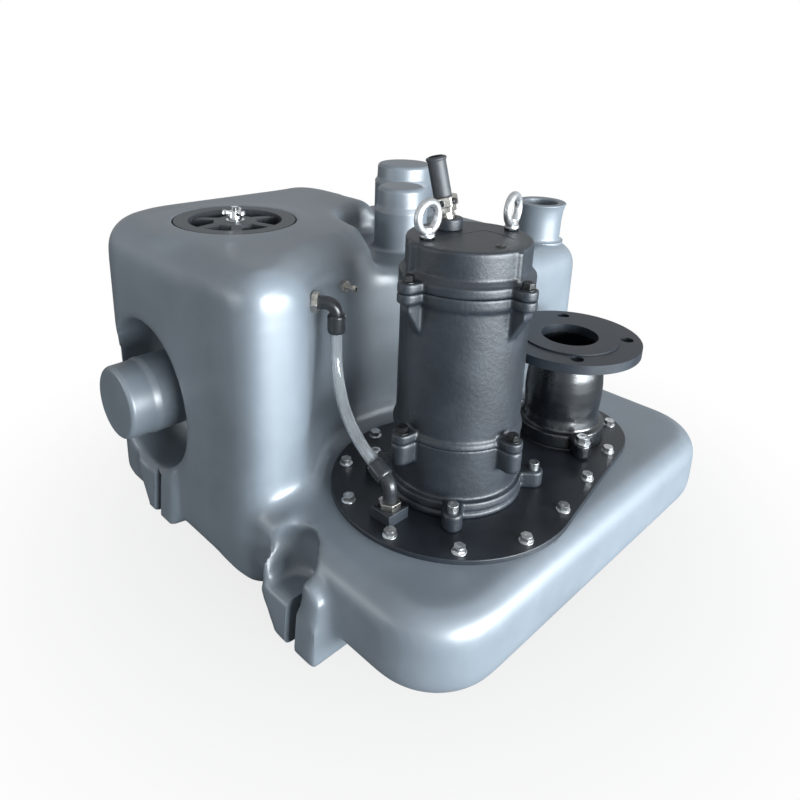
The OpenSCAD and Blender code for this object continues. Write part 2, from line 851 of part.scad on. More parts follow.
module volute() {
    diagonals = lug_turns + [45, 45, 45, 45];
    duct_z = volute_z + volute_floor + duct_r - 1;
    color([0.17, 0.18, 0.19])
    difference() {
        union() {
            at_pump() {
                translate([0, 0, volute_z]) cylinder(r = volute_r, h = plate_z - volute_z + 1);
                for (turn = diagonals) lug(turn, foot_lug_r, plate_z - 24, plate_z + 2);
            }
            translate([pump[0], pump[1], duct_z]) rotate([0, 90, plate_turn])
                cylinder(r = duct_r, h = axis_gap);
            at_discharge() translate([0, 0, volute_z + 4])
                cylinder(r = pot_r, h = plate_z - volute_z);
        }
        translate([pump[0], pump[1], plate_z]) cylinder(r = 2 * axis_gap, h = 20);
        at_pump() {
            translate([0, 0, volute_z + volute_floor]) cylinder(r = snout_r + seat_gap, h = 90);
            translate([0, 0, volute_z - 1]) cylinder(r = suction_r + 6, h = 30);
            holes(diagonals, foot_lug_r, bolt_r + run_gap, plate_z - 30, plate_z + 1);
            holes(lug_turns, suction_r + 17, 2.5 + run_gap, volute_z - 1, volute_z + 9);
        }
        translate([pump[0], pump[1], duct_z]) rotate([0, 90, plate_turn])
            cylinder(r = duct_r - duct_wall, h = axis_gap);
        at_discharge() translate([0, 0, volute_z + 12]) cylinder(r = port_r, h = 90);
    }
}

module suction_plate() {
    color([0.20, 0.21, 0.22])
    at_pump() difference() {
        translate([0, 0, volute_z - suction_t]) cylinder(r = suction_r + 26, h = suction_t);
        translate([0, 0, volute_z - suction_t - 1]) cylinder(r = suction_r, h = suction_t + 2);
        holes(lug_turns, suction_r + 17, 2.5 + bolt_gap, volute_z - suction_t - 1, volute_z + 1);
    }
}

module suction_screws() {
    color([0.75, 0.76, 0.78])
    at_pump() for (turn = lug_turns)
        rotate([0, 0, turn]) translate([suction_r + 17, 0, 0]) {
            translate([0, 0, volute_z - suction_t - 1]) cylinder(r = 2.5, h = suction_t + 7);
            hexagon(8, volute_z - suction_t - 4, volute_z - suction_t);
        }
}

module check_valve() {
    color([0.15, 0.16, 0.17])
    at_discharge() difference() {
        union() {
            translate([0, 0, valve_z]) cylinder(r = 64, h = valve_base_t - 2);
            for (turn = valve_turns) lug(turn, valve_lug_r, valve_z - 2, valve_foot_top);
            rotate_extrude() polygon([[0, valve_z + 1], [58, valve_z + 1], [54, valve_foot_top + 6],
                [53, seat_z + 8], [54.5, seat_z + 34], [54, chamber_in_top - 18],
                [49, chamber_in_top + 6], [49, flange_z + 1], [0, flange_z + 1]]);
            translate([0, 0, flange_z]) cylinder(r = flange_r, h = flange_t);
            translate([0, 0, flange_z + 2]) cylinder(r = face_r, h = flange_t + face_t - 2);
        }
        translate([0, 0, valve_z - 10]) cylinder(r = 2 * flange_r, h = 10);
        translate([0, 0, valve_z - 1]) cylinder(r = port_r, h = 60);
        translate([0, 0, seat_z]) cylinder(r = chamber_in_r, h = chamber_in_top - seat_z);
        translate([0, 0, seat_z + 20]) cylinder(r = discharge_r, h = flange_h);
        rotate([0, 0, plate_turn]) {
            holes(lug_turns + [45, 45, 45, 45], flange_pcd / 2, flange_hole_r,
                flange_z - 1, flange_h);
            translate([pin_x, 0, pin_z]) rotate([90, 0, 0])
                cylinder(r = pin_r + run_gap, h = pin_l + 1, center = true);
        }
        holes(valve_turns, valve_lug_r, valve_bolt_r + bolt_gap, valve_z - 1,
            valve_foot_top + 1);
    }
}

module valve_gasket() {
    color([0.06, 0.06, 0.065])
    at_discharge() ring(62, port_r, plate_top, valve_z);
}

module valve_bolts() {
    color([0.80, 0.81, 0.83])
    at_discharge() for (turn = valve_turns)
        rotate([0, 0, turn]) translate([valve_lug_r, 0, 0])
            flange_bolt(valve_bolt_r, valve_foot_top, plate_z);
}

// Swing flap with its knuckle on the pump side
module valve_flap() {
    color([0.08, 0.08, 0.09])
    at_discharge() rotate([0, 0, plate_turn]) difference() {
        union() {
            translate([0, 0, seat_z + flap_lift]) cylinder(r = flap_r, h = flap_t);
            translate([pin_x - 3, -9, seat_z + flap_lift + 2]) cube([26, 18, 6]);
            translate([pin_x, 0, pin_z]) rotate([90, 0, 0])
                cylinder(r = pin_r + 3, h = 18, center = true);
        }
        translate([pin_x, 0, pin_z]) rotate([90, 0, 0])
            cylinder(r = pin_r + run_gap, h = 40, center = true);
    }
}

module flap_pin() {
    color([0.75, 0.76, 0.78])
    at_discharge() rotate([0, 0, plate_turn]) translate([pin_x, 0, pin_z]) rotate([90, 0, 0])
        cylinder(r = pin_r, h = pin_l, center = true);
}

module vent_block() {
    color([0.12, 0.13, 0.14])
    translate([block[0], block[1], plate_top]) difference() {
        translate([-block_size[0] / 2, -block_size[1] / 2, 0]) cube(block_size);
        cylinder(r = vent_r, h = 40);
    }
}

module block_screws() {
    color([0.70, 0.71, 0.73])
    for (side = [-1, 1])
        translate([block[0] + side * 11, block[1] - side * 11, 0]) {
            translate([0, 0, plate_top + block_size[2]]) cylinder(r = 3, h = 1.5);
        }
}

module lower_elbow_nut() {
    color([0.80, 0.80, 0.78])
    translate([block[0], block[1], plate_top + block_size[2]]) difference() {
        hexagon(nut_af, 0, nut_h);
        cylinder(r = vent_r, h = 40, center = true);
    }
}

// Elbow that starts along +Z and turns towards +Y by the angle
module elbow(leg, bend, angle) {
    cylinder(r = elbow_r, h = leg + eps);
    translate([0, bend, leg]) rotate([90, 0, -90])
        rotate_extrude(angle = angle) translate([bend, 0]) circle(r = elbow_r);
}

module after_elbow(leg, bend, angle) {
    translate([0, bend * (1 - cos(angle)), leg + bend * sin(angle)])
        rotate([-angle, 0, 0]) children();
}

module lower_elbow() {
    color([0.18, 0.19, 0.20])
    translate([block[0], block[1], low_z]) elbow(low_leg, low_bend, low_rise);
}

module lower_collar() {
    color([0.10, 0.10, 0.11])
    translate([block[0], block[1], low_z]) after_elbow(low_leg, low_bend, low_rise)
        cylinder(r = collar_r, h = low_collar_l);
}

module upper_place() {
    on_bay(high_turn, high_z) translate([0, 0, seat_sag]) rotate([0, 0, 90]) children();
}

// Nut of the upper elbow, with its tail through the tank's wall
module upper_elbow_nut() {
    color([0.80, 0.80, 0.78])
    upper_place() difference() {
        union() {
            hexagon(nut_af, 0, nut_h);
            translate([0, 0, -wall - 6]) cylinder(r = vent_r, h = wall + 7);
        }
        cylinder(r = vent_r - 2, h = 60, center = true);
    }
}

module upper_elbow() {
    color([0.18, 0.19, 0.20])
    upper_place() translate([0, 0, nut_h]) elbow(8, high_bend, 90);
}

module upper_collar() {
    color([0.10, 0.10, 0.11])
    upper_place() translate([0, 0, nut_h]) after_elbow(8, high_bend, 90)
        cylinder(r = collar_r, h = high_collar_l);
}

// Round tube of flat sides swept along the route's points
function unit(v) = v / norm(v);
function heading(route, i) =
    unit(route[min(i + 1, len(route) - 1)] - route[max(i - 1, 0)]);
function side_of(direction) = unit(cross(direction, [1, 0, 0]));
module tube(route, radius, sides) {
    n = len(route);
    points = [for (i = [0 : n - 1], k = [0 : sides - 1])
        let (d = heading(route, i), a = side_of(d), b = cross(d, a), t = 360 * k / sides)
            route[i] + radius * (cos(t) * a + sin(t) * b)];
    walls = [for (i = [0 : n - 2], k = [0 : sides - 1])
        let (q = (k + 1) % sides)
            [i * sides + k, (i + 1) * sides + k, (i + 1) * sides + q, i * sides + q]];
    ends = [[for (k = [0 : sides - 1]) k], [for (k = [0 : sides - 1]) n * sides - 1 - k]];
    polyhedron(points, concat(walls, ends), convexity = 4);
}

module vent_hose() {
    color([0.80, 0.83, 0.85])
    tube(hose_route, hose_r, hose_sides);
}

// Brass-coloured port with a hose barb on the bay wall
module level_port() {
    color([0.74, 0.72, 0.66])
    on_bay(port_turn, level_z) translate([0, 0, seat_sag / 2]) {
        hexagon(15, 0, 7);
        translate([0, 0, 6]) cylinder(r = 3.5, h = 16);
        translate([0, 0, 18]) cylinder(r1 = 4.6, r2 = 3.6, h = 5);
        translate([0, 0, -wall - 6]) cylinder(r = port_r_tail, h = wall + 7);
    }
}

// Air bell inside the tank that the level is sensed through
module level_tube() {
    color([0.30, 0.31, 0.33])
    translate([pump[0], pump[1], 0]) rotate([0, 0, port_turn])
        translate([bay_r + wall + 16, 0, 0]) difference() {
            translate([0, 0, underside + wall + 30])
                cylinder(r = 12, h = level_z - underside - wall - 15);
            translate([0, 0, underside + wall + 29])
                cylinder(r = 9, h = level_z - underside - wall - 22);
            translate([-14, 0, level_z]) rotate([0, 90, 0])
                cylinder(r = port_r_tail + seat_gap, h = 8);
        }
}

module at_lid() {
    translate([lid[0], lid[1], 0]) children();
}

// Lid with a sunken ring, six ribs and a hub round the clamp stud
module inspection_lid() {
    color([0.24, 0.26, 0.28])
    at_lid() difference() {
        union() {
            difference() {
                union() {
                    translate([0, 0, lid_z]) cylinder(r = lid_r, h = lid_flange_t);
                    translate([0, 0, lid_z - lid_plug_h]) cylinder(r = lid_plug_r, h = lid_plug_h + 1);
                }
                translate([0, 0, lid_top - lid_dish_d])
                    cylinder(r = lid_dish_r, h = lid_dish_d + 1);
            }
            translate([0, 0, lid_top - lid_dish_d - 1])
                cylinder(r = lid_hub_r, h = lid_dish_d + 1 - lid_hub_drop);
            for (turn = [0 : 60 : 300]) rotate([0, 0, turn])
                translate([lid_hub_r - 4, -7, lid_top - lid_dish_d - 1])
                    cube([lid_dish_r - lid_hub_r + 5, 14, lid_dish_d - 4]);
        }
        translate([0, 0, lid_z - lid_plug_h - 1]) cylinder(r = stud_r + bolt_gap, h = 60);
    }
}

module lid_seal() {
    color([0.04, 0.04, 0.045])
    at_lid() ring(lid_r, neck_r, lid_z - lid_seal_t, lid_z);
}

// Bar across the neck that the stud pulls against
module clamp_bar() {
    color([0.55, 0.56, 0.58])
    at_lid() difference() {
        translate([-neck_r - 10, -14, neck_z - bar_t]) cube([2 * neck_r + 20, 28, bar_t]);
        translate([0, 0, neck_z - bar_t - 1]) cylinder(r = stud_r + run_gap, h = bar_t + 2);
    }
}

module clamp_stud() {
    color([0.78, 0.79, 0.81])
    at_lid() translate([0, 0, neck_z - bar_t - 4])
        cylinder(r = stud_r, h = hub_top + 24 - neck_z + bar_t);
}

module stud_washer() {
    color([0.86, 0.87, 0.89])
    at_lid() ring(13, stud_r + bolt_gap, hub_top, hub_top + 2);
}

module wing_nut() {
    color([0.88, 0.89, 0.91])
    at_lid() difference() {
        union() {
            translate([0, 0, hub_top + 2]) cylinder(r1 = 10, r2 = 8.5, h = 12);
            for (turn = [40, 160, 280]) rotate([0, 0, turn]) translate([6, -2.5, hub_top + 5])
                rotate([0, -30, 0]) cube([20, 5, 10]);
        }
        translate([0, 0, hub_top]) cylinder(r = stud_r + run_gap, h = 40);
    }
}

tank_shell();
tank_platform();
vent_spigot();
backing_ring();
plate_gasket();
cover_plate();
plate_bolts();
oil_chamber();
chamber_screws();
motor_housing();
housing_bolts();
motor_cover();
cover_bolts();
cover_screw();
eye_bolts();
gland_boss();
gland_body();
gland_clamp();
gland_screws();
cable_sleeve();
stator();
rotor_core();
shaft();
upper_bearing();
lower_bearing();
mechanical_seal();
impeller();
impeller_nut();
volute();
suction_plate();
suction_screws();
check_valve();
valve_gasket();
valve_bolts();
valve_flap();
flap_pin();
vent_block();
block_screws();
lower_elbow_nut();
lower_elbow();
lower_collar();
vent_hose();
upper_collar();
upper_elbow();
upper_elbow_nut();
level_port();
level_tube();
inspection_lid();
lid_seal();
clamp_bar();
clamp_stud();
wing_nut();
stud_washer();
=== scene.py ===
"""Surface model of a sewage lifting station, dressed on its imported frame."""

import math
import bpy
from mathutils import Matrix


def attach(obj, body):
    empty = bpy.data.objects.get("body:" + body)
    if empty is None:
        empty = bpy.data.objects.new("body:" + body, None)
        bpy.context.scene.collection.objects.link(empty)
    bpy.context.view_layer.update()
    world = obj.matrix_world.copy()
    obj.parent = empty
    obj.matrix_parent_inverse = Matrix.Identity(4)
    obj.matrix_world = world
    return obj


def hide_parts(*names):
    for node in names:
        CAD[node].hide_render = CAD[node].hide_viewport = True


bl_info = {
    "name": "Sewage lifting station",
    "version": (1, 0, 0),
    "blender": (4, 5, 0),
    "location": "View3D > Sidebar > Station",
    "description": "Builds the tank, pump, valve, vent line and lid of a lifting station",
    "category": "Object",
}

import bmesh
import bpy
from bpy.props import FloatProperty, FloatVectorProperty, PointerProperty
from mathutils import Matrix, Vector

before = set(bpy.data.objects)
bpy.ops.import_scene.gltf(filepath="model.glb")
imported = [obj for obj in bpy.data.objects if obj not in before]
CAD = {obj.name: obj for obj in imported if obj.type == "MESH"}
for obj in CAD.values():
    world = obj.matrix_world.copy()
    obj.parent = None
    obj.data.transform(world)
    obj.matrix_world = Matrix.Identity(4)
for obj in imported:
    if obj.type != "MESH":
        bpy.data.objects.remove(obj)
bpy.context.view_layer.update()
MM = 0.001


# Places, in millimetres, as the source has them

X_LEFT, X_RIGHT = -309.5, 332.5
Y_FRONT, Y_BACK = -355.5, 355.5
PUMP = Vector((-85.5, -176.2, 0))
PUMP_TURN = -5.0
DISCHARGE = Vector((127.55, -199.34, 0))
PLATE_TURN = -6.2
DECK = 127.0
LOW_TOP = 367.0
TALL_TOP = 421.0
BAY_R = 185.0
FEET_Y = (-154.5, 174.5)
INLET = Vector((X_LEFT, 214.5, 180))
LID = Vector((-171.5, 180.5, 0))
BIG_STUB = Vector((237.5, 245.5, LOW_TOP))
SMALL_STUB = Vector((57.5, 76.5, LOW_TOP))
SPIGOT = Vector((282.5, -29.5, LOW_TOP))
PLATE_Z, PLATE_TOP = 129.0, 137.0
CHAMBER_TOP, HOUSING_TOP, COVER_TOP = 224.0, 410.0, 461.0
VALVE_Z, VALVE_FOOT, FLANGE_Z, FLANGE_FACE = 139.0, 160.0, 272.0, 287.0
SCENE_DECK = 131.0
QUARTERS = (0, 90, 180, 270)
DIAGONALS = (45, 135, 225, 315)
VALVE_TURNS = (235, 355, 115)
GLAND = Vector((2, 38, COVER_TOP))
BLOCK = Vector((-203.5, -178.5, PLATE_TOP))


def at(place, turn=0.0):
    """Matrix of a place in millimetres, turned about Z by degrees."""
    return Matrix.Translation(place) @ Matrix.Rotation(math.radians(turn), 4, "Z")


def tilt(axis, degrees):
    return Matrix.Rotation(math.radians(degrees), 4, axis)


def up(z):
    return Matrix.Translation((0, 0, z))


AT_PUMP = at(PUMP, PUMP_TURN)
AT_DISCHARGE = at(DISCHARGE)
AT_INLET = at(INLET) @ tilt("Y", -90)


def ring(start, turns, reach, own_turn=0.0):
    """Places round an axis, reach out from it, each turned on the spot."""
    return [
        start @ tilt("Z", turn) @ Matrix.Translation((reach, 0, 0)) @ tilt("Z", own_turn)
        for turn in turns
    ]


def on_bay(turn, z):
    """Place on the bay's wall, with +Z pointing at the pump's axis."""
    return at((PUMP.x, PUMP.y, z), turn) @ Matrix.Translation((BAY_R, 0, 0)) @ tilt("Y", -90)


# Mesh making, in millimetres


def lathe(profile, steps=64, closed=False):
    """Solid of revolution round Z from (radius, height) points."""
    bm = bmesh.new()
    verts = [bm.verts.new((r, 0, z)) for r, z in profile]
    pairs = list(zip(verts, verts[1:])) + ([(verts[-1], verts[0])] if closed else [])
    edges = [bm.edges.new(pair) for pair in pairs]
    bmesh.ops.spin(
        bm, geom=verts + edges, cent=(0, 0, 0), axis=(0, 0, 1), dvec=(0, 0, 0),
        angle=math.tau, steps=steps, use_merge=True, use_normal_flip=False, use_duplicate=False,
    )
    return bm


def drum(r0, r1, z0, z1, steps=64):
    return lathe([(0, z0), (r0, z0), (r1, z1), (0, z1)], steps)


def pipe(outer, inner, z0, z1, steps=64):
    return lathe([(inner, z0), (outer, z0), (outer, z1), (inner, z1)], steps, closed=True)


def torus(radius, bar, steps=64, sides=20):
    turns = [math.tau * k / sides for k in range(sides)]
    return lathe([(radius + bar * math.cos(t), bar * math.sin(t)) for t in turns], steps, True)


def block(x0, x1, y0, y1, z0, z1):
    bm = bmesh.new()
    bmesh.ops.create_cube(bm, size=1.0)
    bmesh.ops.scale(bm, vec=(x1 - x0, y1 - y0, z1 - z0), verts=bm.verts)
    middle = ((x0 + x1) / 2, (y0 + y1) / 2, (z0 + z1) / 2)
    bmesh.ops.translate(bm, vec=middle, verts=bm.verts)
    return bm


def drawn_up(bm, height):
    """Draws a flat form's faces up into a solid."""
    grown = bmesh.ops.extrude_face_region(bm, geom=bm.faces[:], use_keep_orig=True)
    top = [v for v in grown["geom"] if isinstance(v, bmesh.types.BMVert)]
    bmesh.ops.translate(bm, vec=(0, 0, height), verts=top)
    return bm


def hulled(bm):
    """Leaves only the convex hull of a form's points."""
    hull = bmesh.ops.convex_hull(bm, input=bm.verts, use_existing_faces=False)
    spare = [v for v in hull["geom_interior"] if isinstance(v, bmesh.types.BMVert)]
    bmesh.ops.delete(bm, geom=spare, context="VERTS")
    kept = set(hull["geom"])
    bmesh.ops.delete(bm, geom=[f for f in bm.faces if f not in kept], context="FACES_ONLY")
    return bm


def slab(outline, z0, z1):
    """Flat outline of (x, y) points, drawn up from z0 to z1."""
    bm = bmesh.new()
    bm.faces.new([bm.verts.new((x, y, z0)) for x, y in outline])
    return drawn_up(bm, z1 - z0)


def hexagon(across, z0, z1):
    r = across / 2 / math.cos(math.pi / 6)
    turns = [math.tau * k / 6 for k in range(6)]
    return slab([(r * math.cos(t), r * math.sin(t)) for t in turns], z0, z1)


def belt(circles, z0, z1, steps=96):
    """Slab round two or more circles, given as (x, y, radius)."""
    bm = bmesh.new()
    for x, y, r in circles:
        bmesh.ops.create_circle(bm, segments=steps, radius=r, matrix=Matrix.Translation((x, y, z0)))
    hulled(bm)
    bmesh.ops.dissolve_limit(bm, angle_limit=0.01, verts=bm.verts, edges=bm.edges)
    return drawn_up(bm, z1 - z0)


def bend(radius, bar, angle, steps=16, sides=32):
    """Round bar that starts along +Z at the origin and turns towards +Y."""
    bm = bmesh.new()
    bmesh.ops.create_circle(bm, cap_ends=True, segments=sides, radius=bar)
    bmesh.ops.spin(
        bm, geom=bm.verts[:] + bm.edges[:] + bm.faces[:], cent=(0, radius, 0), axis=(-1, 0, 0),
        dvec=(0, 0, 0), angle=math.radians(angle), steps=steps, use_merge=False,
        use_normal_flip=False, use_duplicate=False,
    )
    return bm


def bevel(bm, edges, width, segments):
    bmesh.ops.bevel(
        bm, geom=edges, offset=width, offset_type="OFFSET", segments=segments, profile=0.5,
        affect="EDGES", clamp_overlap=True, material=-1,
    )


def round_edges(bm, width, segments=3, least=28.0):
    """Rounds the edges that turn by more than an angle."""
    bevel(bm, [
        e for e in bm.edges
        if len(e.link_faces) == 2 and e.calc_face_angle(0.0) > math.radians(least)
    ], width, segments)


def smooth(bm, verts, rounds):
    for _ in range(rounds):
        bmesh.ops.smooth_vert(
            bm, verts=verts, factor=0.5, use_axis_x=True, use_axis_y=True, use_axis_z=True
        )


class Form:
    """A mesh that grows part by part, in millimetres."""

    def __init__(self, bm=None):
        self.bm = bm or bmesh.new()

    def add(self, part, where=None, soft=0.0, segments=3):
        """Adds a solid, with its edges rounded by soft, at a place."""
        bmesh.ops.remove_doubles(part, verts=part.verts, dist=1e-4)
        bmesh.ops.recalc_face_normals(part, faces=part.faces)
        if soft:
            round_edges(part, soft, segments)
        form = Form(part)
        return self.take(form if where is None else form.placed(where))

    def take(self, other):
        """Adds another form as it is, and uses it up."""
        mesh = bpy.data.meshes.new("part")
        other.bm.to_mesh(mesh)
        other.bm.free()
        self.bm.from_mesh(mesh)
        bpy.data.meshes.remove(mesh)
        return self

    def copy_to(self, places):
        """The form again at each place, in one new form."""
        made = Form()
        for where in places:
            made.add(self.bm.copy(), where)
        self.bm.free()
        return made

    def placed(self, where):
        bmesh.ops.transform(self.bm, matrix=where, verts=self.bm.verts)
        if where.determinant() < 0:
            bmesh.ops.reverse_faces(self.bm, faces=self.bm.faces)
        return self

    def cut(self, *cutters):
        """Takes each cutter's solid away."""
        body = loose_object(self.bm)
        for number, cutter in enumerate(cutters):
            tool = loose_object(cutter.bm)
            cutting = body.modifiers.new(f"cut {number}", "BOOLEAN")
            cutting.operation = "DIFFERENCE"
            cutting.solver = "EXACT"
            cutting.object = tool
        self.bm = settled(body)
        return self

    def skinned(self, voxel, rounds=3):
        """One skin round all the bodies, with its corners eased."""
        body = loose_object(self.bm)
        skin = body.modifiers.new("skin", "REMESH")
        skin.mode = "VOXEL"
        skin.voxel_size = voxel
        skin.adaptivity = 0.0
        self.bm = settled(body)
        smooth(self.bm, self.bm.verts, rounds)
        return self


def solid(part, where=None, soft=0.0, segments=3):
    """Form with one solid."""
    return Form().add(part, where, soft, segments)


def rod(radius, z0, z1, steps=64, where=None):
    """Round bar along Z, to add or to cut a hole with."""
    return solid(drum(radius, radius, z0, z1, steps), where)


def loose_object(bm):
    """Object with a form's mesh, used up by settled()."""
    mesh = bpy.data.meshes.new("loose")
    bm.to_mesh(mesh)
    bm.free()
    made = bpy.data.objects.new("loose", mesh)
    bpy.context.scene.collection.objects.link(made)
    return made


def evaluated_mesh(made):
    """New mesh of an object with its modifiers applied."""
    bpy.context.view_layer.update()
    evaluated = made.evaluated_get(bpy.context.evaluated_depsgraph_get())
    return bpy.data.meshes.new_from_object(evaluated)


def settled(body):
    """The object's mesh with its modifiers applied, and the object and its tools removed."""
    mesh = evaluated_mesh(body)
    bm = bmesh.new()
    bm.from_mesh(mesh)
    tools = [m.object for m in body.modifiers if m.type == "BOOLEAN"]
    for spare in [body] + tools:
        spare_mesh = spare.data
        bpy.data.objects.remove(spare)
        bpy.data.meshes.remove(spare_mesh)
    bpy.data.meshes.remove(mesh)
    return bm


def piece(form, name, look, *nodes, body="station", slot=None, crease=35.0, even=True):
    """Finished object of a form, in metres, that stands for nodes of the CAD."""
    bm = form.bm
    bmesh.ops.scale(bm, vec=(MM, MM, MM), verts=bm.verts)
    for face in bm.faces:
        face.smooth = True
    mesh = bpy.data.meshes.new(name)
    bm.to_mesh(mesh)
    bm.free()
    mesh.set_sharp_from_angle(angle=math.radians(crease))
    made = bpy.data.objects.new(name, mesh)
    bpy.context.scene.collection.objects.link(made)
    if even:
        weigh = made.modifiers.new("even normals", "WEIGHTED_NORMAL")
        weigh.keep_sharp = True
        weigh.weight = 50
        even_mesh = evaluated_mesh(made)
        made.modifiers.clear()
        made.data = even_mesh
        bpy.data.meshes.remove(mesh)
        even_mesh.name = name
    made.data.materials.clear()
    made.data.materials.append(finish(look))
    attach(made, body)
    if nodes:
        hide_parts(*nodes)


# Shader making


class Value:
    """A socket that can be used in Python expressions."""

    def __init__(self, tree, socket):
        self.tree = tree
        self.socket = socket

    def math(self, operation, *values):
        return self.tree.node("ShaderNodeMath", {"operation": operation}, dict(enumerate(values)))

    def __add__(self, other):
        return self.math("ADD", self, other)

    __radd__ = __add__

    def __rsub__(self, other):
        return self.math("SUBTRACT", other, self)

    def __mul__(self, other):
        return self.math("MULTIPLY", self, other)

    __rmul__ = __mul__

    def ramp(self, low, high):
        """0 below low, 1 above high and straight between."""
        return self.tree.node(
            "ShaderNodeMapRange", {"interpolation_type": "SMOOTHSTEP"}, {0: self, 1: low, 2: high}
        )


class Shading:
    """A node tree that is put together from expressions."""

    def __init__(self, owner):
        owner.use_nodes = True
        self.tree = owner.node_tree
        self.tree.nodes.clear()

    def node(self, kind, settings=None, values=None, output=0):
        """New node with its settings and inputs, as the value of one of its outputs."""
        made = self.tree.nodes.new(kind)
        for key, setting in (settings or {}).items():
            setattr(made, key, setting)
        for key, value in (values or {}).items():
            self.feed(made.inputs[key], value)
        return Value(self, made.outputs[output])

    def feed(self, socket, value):
        if isinstance(value, Value):
            self.tree.links.new(value.socket, socket)
        else:
            socket.default_value = value


class Finish(Shading):
    """A material with one shader, put together from expressions."""

    def __init__(self, name):
        self.material = bpy.data.materials.new(name)
        super().__init__(self.material)
        self.shader = self.tree.nodes.new("ShaderNodeBsdfPrincipled")
        self.out = self.tree.nodes.new("ShaderNodeOutputMaterial")
        self.tree.links.new(self.shader.outputs[0], self.out.inputs[0])
        self.place = self.node("ShaderNodeTexCoord", {}, {}, "Object")

    def noise(self, scale, detail=2.0, roughness=0.5, stretch=None):
        place = self.place
        if stretch:
            place = self.node("ShaderNodeMapping", {}, {"Vector": place, "Scale": stretch})
        return self.node(
            "ShaderNodeTexNoise", {},
            {"Vector": place, "Scale": scale, "Detail": detail, "Roughness": roughness},
        )

    def cells(self, scale):
        """Distance to the nearest of scattered points."""
        values = {"Vector": self.place, "Scale": scale}
        return self.node("ShaderNodeTexVoronoi", {}, values, "Distance")

    def mix(self, share, first, second):
        return self.node(
            "ShaderNodeMix", {"data_type": "RGBA"}, {0: share, 6: first, 7: second}, 2
        )

    def bump(self, height, depth, strength=1.0, under=None):
        values = {"Height": height, "Distance": depth, "Strength": strength}
        if under is not None:
            values["Normal"] = under
        return self.node("ShaderNodeBump", {}, values)

    def set(self, **values):
        """Sets shader sockets; underscores stand for spaces."""
        for key, value in values.items():
            self.feed(self.shader.inputs[key.replace("_", " ")], value)
        return self.material


def shade(colour, factor):
    return tuple(min(1.0, c * factor) for c in colour[:3]) + (1.0,)


def moulded_plastic(name, colour):
    """Rotationally moulded polyethylene: soft gloss, faint clouding and a slow wave."""
    f = Finish(name)
    cloud = f.noise(7.0, 3.0, 0.55)
    haze = f.noise(38.0, 4.0, 0.6)
    tone = f.mix(cloud.ramp(0.3, 0.7), shade(colour, 0.90), shade(colour, 1.08))
    tone = f.mix(haze.ramp(0.45, 0.75) * 0.25, tone, shade(colour, 1.25))
    wave = f.bump(f.noise(5.5, 1.0, 0.4), 0.004, 0.35)
    grain = f.bump(f.noise(900.0, 2.0, 0.6), 0.00012, 0.35, wave)
    return f.set(
        Base_Color=tone, Roughness=0.38 + 0.08 * haze, Normal=grain, IOR=2.0,
    )


def painted_casting(name, colour, peel=0.0006, gloss=0.38, sheen=1.62):
    """Black paint over a sand casting, with orange peel and pits."""
    f = Finish(name)
    peel_height = f.noise(190.0, 3.0, 0.55)
    sand = f.noise(1100.0, 2.0, 0.6)
    pits = f.cells(420.0).ramp(0.0, 0.28)
    worn = f.noise(22.0, 4.0, 0.6)
    tone = f.mix(worn.ramp(0.35, 0.75), shade(colour, 0.8), shade(colour, 1.35))
    tone = f.mix(sand.ramp(0.62, 0.78) * 0.5, tone, shade(colour, 2.6))
    skin = f.bump(peel_height, peel, 0.55)
    skin = f.bump(sand, peel * 0.35, 0.4, skin)
    skin = f.bump(pits, peel * 0.5, 0.25, skin)
    return f.set(
        Base_Color=tone, Roughness=gloss + 0.14 * worn, Normal=skin, IOR=sheen,
    )


def bright_metal(name, colour, rough=0.26, drawn=None, scratch=0.00004):
    """Zinc, nickel or bare steel with fine marks."""
    f = Finish(name)
    stain = f.noise(160.0, 4.0, 0.6)
    marks = f.noise(700.0, 2.0, 0.5, drawn)
    tone = f.mix(stain.ramp(0.35, 0.7), shade(colour, 0.78), shade(colour, 1.06))
    return f.set(
        Base_Color=tone, Metallic=1.0, Roughness=rough + 0.2 * stain * marks,
        Normal=f.bump(marks, scratch, 0.5),
    )


def smooth_plastic(name, colour, rough=0.3, grain=0.00006):
    """Injection-moulded plastic or rubber with a fine grain."""
    f = Finish(name)
    dust = f.noise(90.0, 4.0, 0.65)
    fine = f.noise(1400.0, 2.0, 0.5)
    tone = f.mix(dust.ramp(0.4, 0.8), shade(colour, 0.88), shade(colour, 1.3))
    return f.set(
        Base_Color=tone, Roughness=rough + 0.12 * dust, Normal=f.bump(fine, grain, 0.5),
        IOR=1.48,
    )


def clear_tube(name, colour):
    """Milky flexible tube that light passes through."""
    f = Finish(name)
    streak = f.noise(60.0, 3.0, 0.5, (1.0, 1.0, 0.12))
    tone = f.mix(streak.ramp(0.3, 0.7), shade(colour, 0.9), shade(colour, 1.1))
    return f.set(
        Base_Color=tone, Roughness=0.05 + 0.08 * streak, IOR=1.42, Transmission_Weight=0.88,
        Normal=f.bump(streak, 0.0004, 0.4),
    )


# Each look has a material name, a record slot, a maker, a colour with its factor, and what else
# the maker takes

